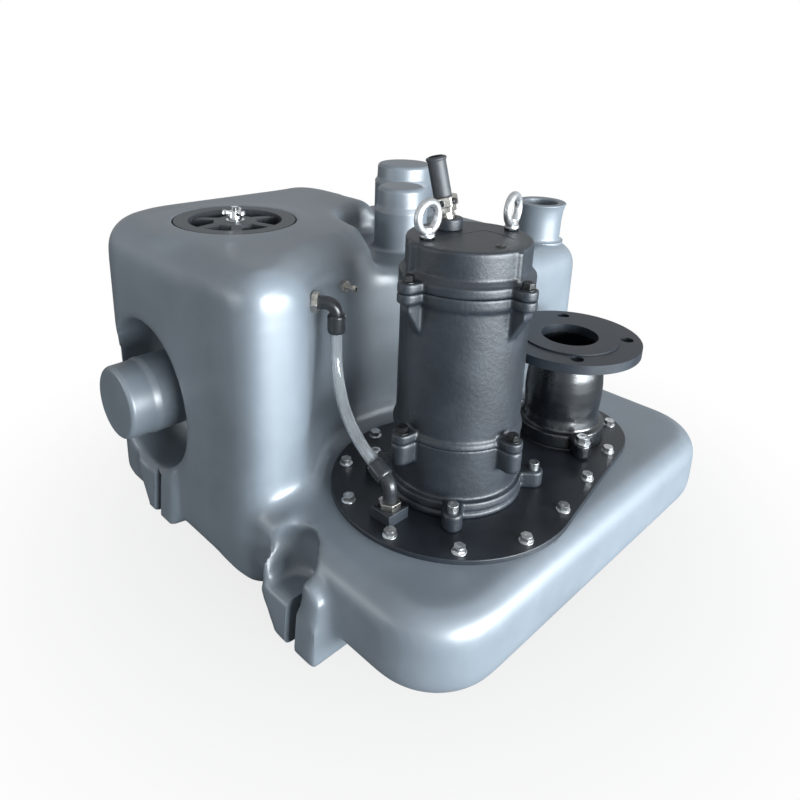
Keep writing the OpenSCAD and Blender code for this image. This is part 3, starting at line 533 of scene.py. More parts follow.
LOOKS = {
    "tank": ("tank plastic", "tank_plastic", moulded_plastic, "tank", 1.0),
    "casting": ("black casting", "cast_black", painted_casting, "casting", 1.0),
    "plate": ("plate coating", "plate_black", painted_casting, "plate", 1.0, 0.00012, 0.3, 1.6),
    # Lighter copy of the black casting paint, at 1.2: painted sheen on the valve's flange
    "flange": ("flange paint", "cast_black", painted_casting, "casting", 1.2, 0.00016, 0.36, 1.55),
    # Darker copy of the black casting paint, at 0.35: painted shade on the valve body
    "valve": ("valve paint", "cast_black", painted_casting, "casting", 0.35, 0.0003, 0.19, 1.9),
    "bare_cast": ("bare casting", "cast_plain", painted_casting, "casting", 2.4, 0.0003, 0.5),
    "zinc": ("zinc plate", "zinc", bright_metal, "zinc", 1.0),
    "white_zinc": ("white zinc", "zinc", bright_metal, "zinc", 0.82, 0.4),
    "chrome": ("chrome", "zinc", bright_metal, "zinc", 1.15, 0.07),
    "dark_steel": ("dark steel", "dark_steel", bright_metal, "zinc", 0.10, 0.3),
    "steel": ("ground steel", "steel", bright_metal, "zinc", 0.9, 0.22, (1, 1, 0.1)),
    "nickel": ("nickel brass", "nickel", bright_metal, "nickel", 0.8, 0.24),
    "copper": ("copper windings", "copper_windings", bright_metal, "copper", 1.0, 0.3),
    "rubber": ("rubber", "rubber", smooth_plastic, "rubber", 1.0, 0.46, 0.0001),
    "sleeve": ("sleeve rubber", "rubber", smooth_plastic, "rubber", 2.2, 0.42, 0.0001),
    "lid": ("lid plastic", "lid_plastic", smooth_plastic, "lid", 1.0, 0.4, 0.00012),
    "fitting": ("fitting plastic", "fitting_plastic", smooth_plastic, "fitting", 1.0, 0.2),
    "hose": ("hose", "clear_hose", clear_tube, "hose", 1.0),
}
FINISHES = {}


def finish(look):
    """Material of a look, made once from the scene's colours."""
    if look not in FINISHES:
        name, _, maker, tint, factor, *rest = LOOKS[look]
        colour = getattr(bpy.context.scene.station_colours, tint)
        FINISHES[look] = maker(name, shade(colour, factor), *rest)
    return FINISHES[look]


# Sizes and colours


def colour(name, description, value):
    return FloatVectorProperty(
        name=name, description=description, subtype="COLOR", size=4, min=0.0, max=1.0,
        default=tuple(value) + (1.0,),
    )


def length(name, description, value, low, high):
    """A length in millimetres."""
    return FloatProperty(name=name, description=description, default=value, min=low, max=high)


class StationSizes(bpy.types.PropertyGroup):
    skin_step: length("Tank skin step", "Mesh step of the moulded skin, in mm", 5.0, 3.5, 9.0)
    cast_step: length("Casting skin step", "Mesh step of the castings, in mm", 1.5, 1.0, 4.0)
    bay_edge: length("Bay edge", "Radius of the bay's upper edge, in mm", 34.0, 10.0, 45.0)
    inlet_edge: length("Inlet bay edge", "Radius of the inlet bay's edge, in mm", 6.0, 2.0, 30.0)
    cap_edge: length("Stub cap edge", "Radius of the closed stubs' top edge, in mm", 7.0, 2.0, 12.0)
    plate_edge: length("Plate edge", "Bevel of the cover plate's edge, in mm", 1.0, 0.2, 2.0)
    hose_wall: length("Hose wall", "Wall of the clear hose, in mm", 1.8, 0.8, 3.0)


class StationColours(bpy.types.PropertyGroup):
    tank: colour("Tank", "Moulded polyethylene", (0.152, 0.176, 0.202))
    casting: colour("Casting", "Black casting paint", (0.012, 0.016, 0.022))
    plate: colour("Plate", "Coating of the cover plate", (0.011, 0.014, 0.019))
    zinc: colour("Zinc", "Plated fasteners", (0.78, 0.79, 0.80))
    nickel: colour("Nickel", "Gland and fittings", (0.76, 0.72, 0.66))
    copper: colour("Copper", "Windings", (0.72, 0.36, 0.18))
    rubber: colour("Rubber", "Gaskets and sleeve", (0.02, 0.021, 0.023))
    lid: colour("Lid", "Inspection lid", (0.07, 0.077, 0.086))
    fitting: colour("Fitting", "Vent elbows", (0.022, 0.024, 0.027))
    hose: colour("Hose", "Clear vent hose", (0.80, 0.83, 0.85))
    floor: colour("Floor", "Studio floor", (0.20, 0.205, 0.21))


def sizes():
    return bpy.context.scene.station_sizes


class Group:
    """What the operators share: each builds one group of pieces."""

    def execute(self, context):
        self.build()
        return {"FINISHED"}


# Shared shapes


def flange_bolt(radius, head_z):
    """Hexagon head with a pressed flange, dished on top."""
    across = 3.2 * radius
    crown_r = 0.92 * across / 1.8
    top = head_z + 1.7 * radius + 0.8
    skirt = [(0, head_z), (2.2 * radius, head_z), (2.2 * radius, head_z + 0.8),
             (1.62 * radius, head_z + 1.9), (0, head_z + 1.9)]
    form = solid(lathe(skirt, 32), soft=0.25, segments=2)
    head = solid(hexagon(across, head_z + 1, top), soft=0.35, segments=2)
    crown = [(crown_r, top - 0.25), (across, top - 3.4), (across, top + 3), (crown_r, top + 3)]
    crown = solid(lathe(crown, 32, True))
    dish = solid(drum(0.5 * radius, 1.25 * radius, top - 0.5, top + 0.4, 32))
    head.cut(crown, dish)
    return form.take(head)


def socket_screw(radius, head_z, head_h):
    head = solid(drum(1.65 * radius, 1.65 * radius, head_z, head_z + head_h, 32), soft=0.6)
    head.cut(solid(hexagon(1.6 * radius, head_z + head_h / 2, head_z + head_h + 2)))
    return head


def soft_block(x0, x1, y0, y1, z0, z1, plan, top, low):
    """Block with round corners in plan and its own radius above and below."""
    bm = block(x0, x1, y0, y1, z0, z1)
    bevel(bm, [e for e in bm.edges if abs(e.verts[0].co.z - e.verts[1].co.z) > 1], plan, 14)
    for level, width in ((z1, top), (z0, low)):
        flat = [e for e in bm.edges if all(abs(v.co.z - level) < 0.01 for v in e.verts)]
        bevel(bm, flat, width, 9)
    return bm


def arc(cx, cz, radius, start, end, count=8):
    """(radius, height) points of an arc, from start to end in degrees."""
    turns = [math.radians(start + (end - start) * k / count) for k in range(count + 1)]
    return [(cx + radius * math.cos(t), cz + radius * math.sin(t)) for t in turns]


def bay_cutter(radius, floor, top, flare, cove):
    """Round bay's solid, with a coved floor and a flared rim at the top."""
    profile = [(0, floor)] + arc(radius - cove, floor + cove, cove, -90, 0)
    profile += arc(radius + flare, top - flare, flare, 180, 90)
    profile += [(radius + flare, top + 60), (0, top + 60)]
    return lathe(profile, 96)


def run(start, end, step=6.0):
    """Evenly spaced points from start up to, but not at, end."""
    a, b = Vector(start), Vector(end)
    count = max(1, round((b - a).length / step))
    return [tuple(a.lerp(b, k / count)) for k in range(count)]


def sweep(cx, cy, radius, start, end, step=5.0):
    """Points of an arc in plan, from start up to, but not at, end in degrees."""
    count = max(2, round(abs(math.radians(end - start)) * radius / step))
    return arc(cx, cy, radius, start, end, count)[:-1]


def curve_points(p0, p1, p2, p3, count=28):
    """Points of a cubic curve up to, but not at, its end."""
    a, b, c, d = (Vector(p) for p in (p0, p1, p2, p3))
    line = []
    for k in range(count):
        t = k / count
        u = 1 - t
        line.append(tuple(u ** 3 * a + 3 * u * u * t * b + 3 * u * t * t * c + t ** 3 * d))
    return line


def evened(values, rounds):
    """A closed list of numbers with its steps smoothed."""
    for _ in range(rounds):
        values = [
            (values[k - 1] + 2 * v + values[(k + 1) % len(values)]) / 4
            for k, v in enumerate(values)
        ]
    return values


def contour_block(outline, top_radii, z0, z1, low, steps=9):
    """Upright block on a plan outline, with an edge radius for each point on top."""
    count = len(outline)
    points = [Vector(p) for p in outline]
    inward = []
    for k, point in enumerate(points):
        way = points[(k + 1) % count] - points[k - 1]
        inward.append(Vector((-way.y, way.x)).normalized())
    levels = []
    for k in range(steps + 1):
        turn = math.radians(90 * k / steps)
        inset = low * (1 - math.sin(turn))
        z = z0 + low * (1 - math.cos(turn))
        levels.append([(*(p + n * inset), z) for p, n in zip(points, inward)])
    for k in range(steps + 1):
        turn = math.radians(90 * k / steps)
        levels.append([
            (*(p + n * r * (1 - math.cos(turn))), z1 - r + r * math.sin(turn))
            for p, n, r in zip(points, inward, top_radii)
        ])
    bm = bmesh.new()
    rings = [[bm.verts.new(q) for q in level] for level in levels]
    bm.faces.new(rings[0])
    bm.faces.new(rings[-1])
    for ring_a, ring_b in zip(rings, rings[1:]):
        for k in range(count):
            m = (k + 1) % count
            bm.faces.new((ring_a[k], ring_a[m], ring_b[m], ring_b[k]))
    return bm


# Tank

FOOT_OUT = 20.0
FOOT_SLOT_Y, FOOT_SLOT_R = 6.0, 9.5
SCOOP_Y = 29.0
SCOOP_LOW, SCOOP_LOW_R = 60.0, 29.0
SCOOP_TOP, SCOOP_TOP_R = 106.0, 37.0
BACK_FOOT_IN = 9.0
TALL_UNDERSIDE, LOW_UNDERSIDE = 9.0, 27.0
TALL_RIGHT = 92.0
NOSE_R, NOSE_Y = 58.0, -63.0
DIP = ((SMALL_STUB.x, SMALL_STUB.y, 94), (16, -4, 74))
DIP_EDGE = 18.0
INLET_BAY_R, INLET_BAY_DEPTH, INLET_COVE = 110.0, 80.0, 24.0
WELL_R, WELL_Z = 76.0, 305.0
SEAT_R, SEAT_Z = 86.2, 416.0
SPIGOT_BORE_R = 29.0
OVER_ALL = 500.0


def tall_block():
    """Tall block, with a round column at the left of the pump's bay."""
    rise = NOSE_Y + NOSE_R - PUMP.y
    nose_x = PUMP.x - math.sqrt((BAY_R + NOSE_R) ** 2 - rise ** 2)
    nose_turn = math.degrees(math.atan2(rise, nose_x - PUMP.x))
    end_r, right_r, left_r = 30.0, 55.0, 80.0
    reach = TALL_RIGHT - end_r - PUMP.x
    end_y = PUMP.y + math.sqrt((BAY_R + end_r) ** 2 - reach ** 2)
    end_turn = math.degrees(math.atan2(end_y - PUMP.y, reach))
    bay_edge = sizes().bay_edge + 10
    left_end = (X_LEFT, 60)
    right_x, left_x = TALL_RIGHT - right_r, X_LEFT + left_r
    pieces = (
        (run((X_LEFT, Y_BACK - left_r), left_end), 46),
        (curve_points(left_end, (X_LEFT, -20), (-325, NOSE_Y), (nose_x, NOSE_Y)), 36),
        (sweep(nose_x, NOSE_Y + NOSE_R, NOSE_R, -90, nose_turn - 180), bay_edge),
        (sweep(PUMP.x, PUMP.y, BAY_R, nose_turn, end_turn), bay_edge),
        (sweep(TALL_RIGHT - end_r, end_y, end_r, end_turn - 180, 0), 30),
        (run((TALL_RIGHT, end_y), (TALL_RIGHT, Y_BACK - right_r)), 22),
        (sweep(right_x, Y_BACK - right_r, right_r, 0, 90), 26),
        (run((right_x, Y_BACK), (left_x, Y_BACK)), 34),
        (sweep(left_x, Y_BACK - left_r, left_r, 90, 180), 46),
    )
    outline = [point for points, _ in pieces for point in points]
    radii = [radius for points, radius in pieces for _ in points]
    return contour_block(outline, evened(radii, 12), TALL_UNDERSIDE, TALL_TOP, 12)


def foot():
    """Anchor foot's pad, with +X pointing out of the tank."""
    outline = [(-36, 0), (37, 0), (66, 42), (70, 70), (58, 104), (-20, 104), (-36, 88)]
    bm = slab(outline, -56, FOOT_OUT)
    upright = Matrix(((0, 0, 1, 0), (1, 0, 0, 0), (0, 1, 0, 0), (0, 0, 0, 1)))
    bmesh.ops.transform(bm, matrix=upright, verts=bm.verts)
    for v in bm.verts:
        if v.co.x > 0:
            v.co.x -= 0.08 * v.co.z
    return bm


def foot_scoop():
    """Room over an anchor slot for the bolt and its spanner."""
    bm = bmesh.new()
    for out in (0, 60):
        low = Matrix.Translation((out - 6, SCOOP_Y - 4, SCOOP_LOW))
        top = Matrix.Translation((out - 3, SCOOP_Y, SCOOP_TOP))
        bmesh.ops.create_circle(bm, segments=40, radius=SCOOP_LOW_R, matrix=low)
        bmesh.ops.create_uvsphere(bm, u_segments=32, v_segments=20, radius=SCOOP_TOP_R, matrix=top)
    return hulled(bm)


def foot_places():
    """Places of the four feet; the last, at the back left, is set in and has no scoop."""
    outs = ((X_RIGHT, 1, FEET_Y[0]), (X_LEFT, -1, FEET_Y[0]), (X_RIGHT, 1, FEET_Y[1]),
            (X_LEFT + BACK_FOOT_IN, -1, FEET_Y[1]))
    return [at((x, y, 0)) @ Matrix.Diagonal((side, 1, 1, 1)) for x, side, y in outs]


def tank_body():
    """The moulding's outer form: tall and low block, platform, neck of the lid and feet."""
    s = sizes()
    tall = solid(tall_block())
    right = X_RIGHT - 4
    low = solid(soft_block(-59.5, right, -93.5, Y_BACK - 4, LOW_UNDERSIDE, LOW_TOP, 42, 38, 34))
    low.cut(solid(bay_cutter(BAY_R, 60, LOW_TOP, s.bay_edge, 10), at(PUMP)))
    for turn in (0, 30, 60, 90):
        spread = DIP_EDGE * (1 - math.cos(math.radians(turn)))
        level = TALL_TOP - DIP_EDGE * (1 - math.sin(math.radians(turn))) if turn else LOW_TOP - 1
        tall.cut(solid(belt([(x, y, r + spread) for x, y, r in DIP], level, OVER_ALL)))
    body = tall.take(low)
    body.add(soft_block(X_LEFT + 4, X_RIGHT - 6, Y_FRONT, Y_BACK - 8, LOW_UNDERSIDE - 1, SCENE_DECK,
                        90, 30, 32))
    neck_top = TALL_TOP + 2.5
    neck = [(0, 380), (128, 380), (128, TALL_TOP - 3), (100, neck_top), (0, neck_top)]
    body.add(lathe(neck, 96), at(LID))
    for place in foot_places():
        body.add(foot(), place)
    return body.skinned(s.skin_step, 0)


def ease(bm, wanted, rounds):
    """Smooths the part of a skin where wanted(point) holds, in millimetres."""
    smooth(bm, [v for v in bm.verts if wanted(v.co)], rounds)


def near_scoop(p):
    """Whether a point is close to one of the scoops over the anchor slots."""
    return abs(p.x) > 250 and min(abs(p.y - y - SCOOP_Y) for y in FEET_Y) < 75


def off_bay_wall(p):
    """How far a point lies outside the wall of the pump's bay."""
    return math.hypot(p.x - PUMP.x, p.y - PUMP.y) - BAY_R


EASED = (
    # All but the near sides of the scoops
    (lambda p: p.z > 135 or not near_scoop(p), 3),
    # Foot of the bay's wall, where it runs out into the deck
    (lambda p: -19 < off_bay_wall(p) < 26 and DECK - 12 < p.z < 165 and p.y > -120, 40),
    # Foot of the column
    (lambda p: p.x < -215 and -85 < p.y < -38 and 122 < p.z < 160, 10),
    # Right end of the bay's rim
    (lambda p: p.z > 330 and 20 < p.x < 120 and -130 < p.y < 60, 30),
    # Side of the dip round the small stub
    (lambda p: LOW_TOP - 8 < p.z < TALL_TOP - 4 and p.x < 130, 6),
    # Hump between the bay and the dip
    (lambda p: p.z > 345 and -95 < p.x < -20 and -20 < p.y < 50, 30),
    # Rim of the dip
    (lambda p: p.z > 395 and -75 < p.x < 120 and 20 < p.y < 240, 10),
)


class StationTank(Group, bpy.types.Operator):
    """Moulded tank with its bays, its feet and the seat of the lid"""

    bl_idname = "station.tank"
    bl_label = "Tank"

    def build(self):
        s = sizes()
        edge = s.inlet_edge
        rim_r = INLET_BAY_R + edge
        bay = [(0, -INLET_BAY_DEPTH)]
        bay += arc(INLET_BAY_R - INLET_COVE, INLET_COVE - INLET_BAY_DEPTH, INLET_COVE, -90, 0)
        bay += arc(rim_r, -edge, edge, 180, 90) + [(rim_r, 60), (0, 60)]
        body = tank_body()
        body.cut(solid(lathe(bay, 96), AT_INLET))
        for place in foot_places()[:3]:
            body.cut(solid(foot_scoop(), place))
        skin = body.skinned(s.skin_step, 2)
        for wanted, rounds in EASED:
            ease(skin.bm, wanted, rounds)
        slot = [(x, FOOT_SLOT_Y, FOOT_SLOT_R) for x in (-30, 60)]
        slots = [solid(belt(slot, -1, 70, 24), place) for place in foot_places()]
        seat = [(0, SEAT_Z), (SEAT_R, SEAT_Z), (SEAT_R, TALL_TOP + 1), (SEAT_R + 2.8, TALL_TOP + 4),
                (SEAT_R + 2.8, OVER_ALL), (0, OVER_ALL)]
        skin.cut(
            *slots,
            rod(WELL_R, WELL_Z, OVER_ALL, 96, at(LID)),
            solid(lathe(seat, 96), at(LID)),
            rod(SPIGOT_BORE_R, 300, OVER_ALL, 64, at((SPIGOT.x, SPIGOT.y, 0))),
        )
        piece(skin, "tank_moulding", "tank", "tank_shell", "tank_platform", crease=50, even=False)


def stub(base_r, cap_r, foot, shoulder, top):
    """Closed stub with a sloping shoulder and a narrower cap."""
    edge = sizes().cap_edge
    root = 7.0
    profile = [(0, foot - 6), (base_r + root, foot - 6)]
    profile += arc(base_r + root, foot + root, root, 270, 180, 6)
    profile += [(base_r, shoulder - 9), (base_r + 0.5, shoulder - 7)]
    profile += [(cap_r + 1.2, shoulder - 0.5), (cap_r + 0.5, shoulder + 3)]
    profile += arc(cap_r - edge, top - edge, edge, 5, 90, 10) + [(0, top)]
    return lathe(profile, 96)


class StationStubs(Group, bpy.types.Operator):
    """Three closed inlet stubs and the open vent spigot"""

    bl_idname = "station.stubs"
    bl_label = "Stubs and spigot"

    def build(self):
        stubs = (
            ("inlet_stub", stub(55.5, 53, -INLET_BAY_DEPTH, 8, 43), AT_INLET),
            ("large_stub", stub(55.5, 51, 0, 66, 92), at(BIG_STUB)),
            ("small_stub", stub(40.5, 36.5, 0, 67, 96), at(SMALL_STUB)),
        )
        for name, form, place in stubs:
            piece(solid(form, place), name, "tank", crease=50)
        root = 6.0
        mouth = [(27, -40), (31, -40), (31, -4), (35 + root, -4)]
        mouth += arc(35 + root, root, root, 270, 180, 6)
        mouth += [(35.5, 34), (37, 50), (39.5, 59)] + arc(39, 61, 2, 0, 90, 4)
        mouth += arc(30, 60, 3, 90, 180, 4)
        piece(solid(lathe(mouth, 96, True), at(SPIGOT)), "open_spigot", "tank", "vent_spigot",
              crease=50)


# Cover plate

BOLT_R = 4.0
BOLTS_APART = 40.0
# Each hole has a place, its radius in the plate and in the gasket, and its steps
PLATE_HOLES = ((PUMP, 60.3, 125.0, 96), (DISCHARGE, 30.0, 60.0, 64))


def plate_outline(grow):
    """Circles of the plate's outline, grown from the circles of its bolts."""
    return [(PUMP.x, PUMP.y, 142.7 + grow), (DISCHARGE.x, DISCHARGE.y, 81 + grow)]


def bolt_places():
    """Plate bolts' places: the middles of the groups of points in the CAD bolts' mesh."""
    groups = []
    for vertex in CAD["plate_bolts"].data.vertices:
        p = vertex.co.to_2d()
        near = [group for group in groups if (group[0] - p).length < BOLTS_APART * MM]
        if near:
            near[0].append(p)
        else:
            groups.append([p])
    places = []
    for group in groups:
        low = Vector([min(p[k] for p in group) for k in range(2)])
        high = Vector([max(p[k] for p in group) for k in range(2)])
        places.append(((low + high) / 2 / MM).to_3d())
    return places


class StationPlate(Group, bpy.types.Operator):
    """Cover plate, its gasket and its ring of bolts"""

    bl_idname = "station.plate"
    bl_label = "Cover plate"

    def build(self):
        edge = sizes().plate_edge
        plate = solid(belt(plate_outline(15), PLATE_Z, PLATE_TOP), soft=edge)
        gasket = solid(belt(plate_outline(16), DECK, PLATE_Z), soft=0.4)
        for place, plate_r, gasket_r, steps in PLATE_HOLES:
            plate.cut(rod(plate_r, 100, 150, steps, at(place)))
            gasket.cut(rod(gasket_r, 100, 150, steps, at(place)))
        piece(plate, "coated_plate", "plate", "cover_plate")
        piece(gasket, "plate_seal", "rubber", "plate_gasket")
        bolts = flange_bolt(BOLT_R, PLATE_TOP)
        turned = [at(p, 17 * n) for n, p in enumerate(bolt_places())]
        piece(bolts.copy_to(turned), "plate_bolt_heads", "zinc", "plate_bolts")


# Pump

LUG_R = 12.0
JOINT_H = 12.0
JOINT_LUG_OUT = 92.0
FOOT_LUG_OUT, FOOT_LUG_H = 102.0, 22.0
SEAL_R = 15.2


def lug(form, turn, reach, z0, z1, soft=1.5):
    """Rounded lug that runs out from the axis."""
    outline = [(30, -LUG_R)] + arc(reach, 0, LUG_R, -90, 90, 12) + [(30, LUG_R)]
    form.add(slab(outline, z0, z1), tilt("Z", turn), soft=soft)


class StationOilChamber(Group, bpy.types.Operator):
    """Oil chamber casting with its foot flange, pillars and joint lugs"""

    bl_idname = "station.oil_chamber"
    bl_label = "Oil chamber"

    def build(self):
        body = Form()
        body.add(drum(80, 80, PLATE_TOP, CHAMBER_TOP, 96))
        body.add(drum(87.5, 87.5, PLATE_TOP, PLATE_TOP + 7, 96), soft=1)
        body.add(drum(84.5, 84.5, PLATE_TOP, PLATE_TOP + 14, 96))
        body.add(drum(87.5, 86.5, PLATE_TOP + 10, PLATE_TOP + 21, 96), soft=1.5)
        for turn in DIAGONALS:
            lug(body, turn, FOOT_LUG_OUT, PLATE_TOP, PLATE_TOP + FOOT_LUG_H)
        for turn in QUARTERS:
            lug(body, turn, JOINT_LUG_OUT, CHAMBER_TOP - 28, CHAMBER_TOP, 3)
        body = body.skinned(sizes().cast_step, 3)
        body.cut(rod(62, PLATE_TOP + 15, CHAMBER_TOP - 18),
                 rod(24.2, CHAMBER_TOP - 30, CHAMBER_TOP + 5, 48),
                 rod(SEAL_R, 100, 170, 48))
        body.take(solid(pipe(60, SEAL_R, 122, PLATE_TOP, 96)))
        piece(body.placed(AT_PUMP), "oil_chamber_casting", "casting", "oil_chamber", even=False)
        screws = socket_screw(BOLT_R, PLATE_TOP + FOOT_LUG_H, 10)
        places = ring(AT_PUMP, DIAGONALS, FOOT_LUG_OUT)
        piece(screws.copy_to(places), "chamber_screw_heads", "zinc", "chamber_screws")


class StationMotor(Group, bpy.types.Operator):
    """Motor housing with its flanged joints and tapered ribs"""

    bl_idname = "station.motor"
    bl_label = "Motor housing"

    def build(self):
        body = Form()
        body.add(drum(77.5, 77.5, CHAMBER_TOP, HOUSING_TOP, 96))
        body.add(drum(81.5, 80, CHAMBER_TOP, CHAMBER_TOP + 8, 96), soft=1.5)
        body.add(drum(79.5, 81, HOUSING_TOP - 16, HOUSING_TOP - 12, 96))
        body.add(drum(81, 81, HOUSING_TOP - 12, HOUSING_TOP, 96), soft=1.2)
        for turn in QUARTERS:
            lug(body, turn, JOINT_LUG_OUT, CHAMBER_TOP, CHAMBER_TOP + JOINT_H)
            lug(body, turn, JOINT_LUG_OUT, HOUSING_TOP - JOINT_H, HOUSING_TOP)
            wedge = slab([(70, HOUSING_TOP - 54), (78, HOUSING_TOP - 52), (97, HOUSING_TOP - 22),
                          (97, HOUSING_TOP - 10), (70, HOUSING_TOP - 10)], -8, 8)
            body.add(wedge, tilt("Z", turn) @ tilt("X", 90), soft=2)
        body = body.skinned(sizes().cast_step, 3)
        body.cut(rod(66.2, CHAMBER_TOP - 5, HOUSING_TOP + 5, 96))
        piece(body.placed(AT_PUMP), "motor_casting", "casting", "motor_housing", even=False)
        bolts = flange_bolt(BOLT_R, CHAMBER_TOP + JOINT_H)
        places = ring(AT_PUMP, QUARTERS, JOINT_LUG_OUT, 13)
        piece(bolts.copy_to(places), "housing_bolt_heads", "dark_steel", "housing_bolts")


COVER_RIB = (4, -72.5, 0)
COVER_PILLAR = (-68, 18, 0)
PLUG_SCREW = (-5, -52, 0)
PANEL_LINE = ((-36, 15), (-2, 10), (33, 9), (35, -14), (33, -39))


class StationCover(Group, bpy.types.Operator):
    """Motor cover with its engraved panel, bolts and plug screw"""

    bl_idname = "station.cover"
    bl_label = "Motor cover"

    def build(self):
        body = Form()
        body.add(drum(74.2, 74.2, HOUSING_TOP, COVER_TOP, 96), soft=3)
        body.add(drum(81, 81, HOUSING_TOP, HOUSING_TOP + 12, 96), soft=1.2)
        body.add(drum(79, 76, HOUSING_TOP + 12, HOUSING_TOP + 17, 96))
        for turn in QUARTERS:
            lug(body, turn, JOINT_LUG_OUT, HOUSING_TOP, HOUSING_TOP + JOINT_H)
        body.add(drum(5, 5, HOUSING_TOP, COVER_TOP - 3, 32), at(COVER_RIB))
        body.add(drum(9.5, 9, HOUSING_TOP, COVER_TOP - 2, 32), at(COVER_PILLAR), soft=2)
        body = body.skinned(sizes().cast_step, 3)
        body.cut(rod(62, HOUSING_TOP - 5, COVER_TOP - 10))
        for start, end in zip(PANEL_LINE, PANEL_LINE[1:]):
            way = Vector(end) - Vector(start)
            groove = block(-0.5, way.length + 0.5, -0.8, 0.8, COVER_TOP - 1.2, COVER_TOP + 3)
            turn = math.degrees(math.atan2(way.y, way.x))
            body.cut(solid(groove, at((*start, 0), turn)))
        piece(body.placed(AT_PUMP), "cover_casting", "casting", "motor_cover", even=False)
        bolts = flange_bolt(BOLT_R, HOUSING_TOP + JOINT_H)
        places = ring(AT_PUMP, QUARTERS, JOINT_LUG_OUT, 21)
        piece(bolts.copy_to(places), "cover_bolt_heads", "dark_steel", "cover_bolts")
        screw = solid(drum(6.5, 5.5, COVER_TOP, COVER_TOP + 1.6, 32), soft=0.3)
        screw.cut(solid(block(-8, 8, -0.6, 0.6, COVER_TOP + 0.7, COVER_TOP + 4), tilt("Z", 30)))
        piece(screw.placed(AT_PUMP @ at(PLUG_SCREW)), "plug_screw", "dark_steel", "cover_screw")


# Each eye has its place on the cover and the way that it faces

EYES = ((-53, 15, 92), (63, -8, 104))


class StationEyes(Group, bpy.types.Operator):
    """Two forged lifting eyes on their collars"""

    bl_idname = "station.eyes"
    bl_label = "Lifting eyes"

    def build(self):
        rings = Form()
        collars = Form()
        for x, y, heading in EYES:
            place = AT_PUMP @ Matrix.Translation((x, y, COVER_TOP))
            ring_place = place @ up(25) @ tilt("Z", heading - 90 - PUMP_TURN) @ tilt("X", 90)
            rings.add(torus(16.8, 5.0, 64, 24), ring_place)
            profile = [(0, 3), (8.6, 3), (8.6, 5)] + arc(12.5, 12, 7.2, 235, 180, 6)
            rings.add(lathe(profile + [(5, 13.5), (0, 13.5)], 40), place)
            collars.add(drum(9, 9, 0, 3.2, 6), place @ tilt("Z", 20), soft=0.5)
        piece(rings, "lifting_rings", "white_zinc", "eye_bolts")
        piece(collars, "lifting_ring_collars", "dark_steel")


LEAN, LEAN_HEADING = 13.0, 134.0
CABLE_R = 8.0


class StationGland(Group, bpy.types.Operator):
    """Cable gland, its clamp and the leaning rubber sleeve"""

    bl_idname = "station.gland"
    bl_label = "Cable gland"

    def build(self):
        place = AT_PUMP @ Matrix.Translation(GLAND)
        boss = solid(pipe(17, CABLE_R, 0, 14, 48), place, soft=1.6)
        place = place @ tilt("Z", LEAN_HEADING - PUMP_TURN) @ tilt("Y", LEAN)
        piece(boss, "gland_seat", "casting", "gland_boss")
        neck = Form()
        neck.add(pipe(10, CABLE_R, 11, 21, 48), place, soft=0.5)
        neck.add(pipe(11.2, CABLE_R, 15, 17.5, 48), place, soft=0.6)
        nut = solid(hexagon(24, 21, 28), soft=0.8)
        nut.cut(rod(CABLE_R, 10, 40, 40))
        neck.take(nut.placed(place))
        piece(neck, "gland_neck", "nickel", "gland_body")
        clamp = solid(hexagon(30, 28, 40), soft=1.2)
        clamp.cut(rod(CABLE_R, 10, 60, 40))
        piece(clamp.placed(place), "gland_clamp_nut", "nickel", "gland_clamp")
        knobs = Form()
        for side in (0, 60):
            knob = place @ tilt("Z", side + 80) @ up(34) @ tilt("Y", 90)
            knobs.add(drum(3.6, 3.6, 15, 18, 24), knob, soft=0.5)
        piece(knobs, "gland_clamp_screws", "dark_steel", "gland_screws")
        sleeve = [(CABLE_R, -3), (11, -3), (11, 41)] + arc(10.4, 44.6, 2.0, -60, 90, 8)
        sleeve += [(CABLE_R + 0.6, 47.4), (CABLE_R, 46)]
        piece(solid(lathe(sleeve, 48, True), place @ up(40)), "sleeve", "sleeve", "cable_sleeve")


# Discharge

VALVE_LUG_OUT = 79.0
FLANGE_R, FLANGE_RING_R, FACE_R, FLANGE_BORE_R = 100.0, 80.0, 69.0, 40.0
FACE_H = 2.0


class StationValve(Group, bpy.types.Operator):
    """Check valve casting, its flange and its bolts"""

    bl_idname = "station.valve"
    bl_label = "Check valve"

    def build(self):
        body = Form()
        body.add(drum(64, 63, VALVE_Z, VALVE_FOOT, 96), soft=2)
        for turn in VALVE_TURNS:
            lug(body, turn, VALVE_LUG_OUT, VALVE_Z, VALVE_FOOT, 2)
        profile = [(0, VALVE_Z), (58, VALVE_Z), (55, 165), (53, 176), (54, 188), (55, 204),
                   (54.5, 220), (53, 236), (50, 252), (49, 262), (49, 274), (0, 274)]
        body.add(lathe(profile, 96))
        body = body.skinned(sizes().cast_step, 4)
        body.cut(rod(45.5, 168, 255), rod(30, 130, 190), rod(FLANGE_BORE_R, 188, 300))
        # The valve body takes the darkened copy of the casting paint: painted shade
        piece(body.placed(AT_DISCHARGE), "valve_casting", "valve", "check_valve", even=False)
        rim_top = FLANGE_FACE - FACE_H
        face = [(FLANGE_BORE_R, FLANGE_Z), (FLANGE_R, FLANGE_Z), (FLANGE_R, rim_top),
                (FACE_R, rim_top), (FACE_R, FLANGE_FACE), (FLANGE_BORE_R, FLANGE_FACE)]
        flange = solid(lathe(face, 128, True))
        places = ring(Matrix(), [PLATE_TURN + t for t in DIAGONALS], FLANGE_RING_R)
        flange.cut(*[rod(9, 260, 300, 32, place) for place in places])
        round_edges(flange.bm, 1.2, 3, 30)
        # The flange takes the lightened copy of the casting paint: painted sheen
        piece(flange.placed(AT_DISCHARGE), "discharge_flange", "flange", "check_valve")
        bolts = flange_bolt(5, VALVE_FOOT).copy_to(ring(AT_DISCHARGE, VALVE_TURNS, VALVE_LUG_OUT))
        piece(bolts, "valve_bolt_heads", "zinc", "valve_bolts")


# Vent line

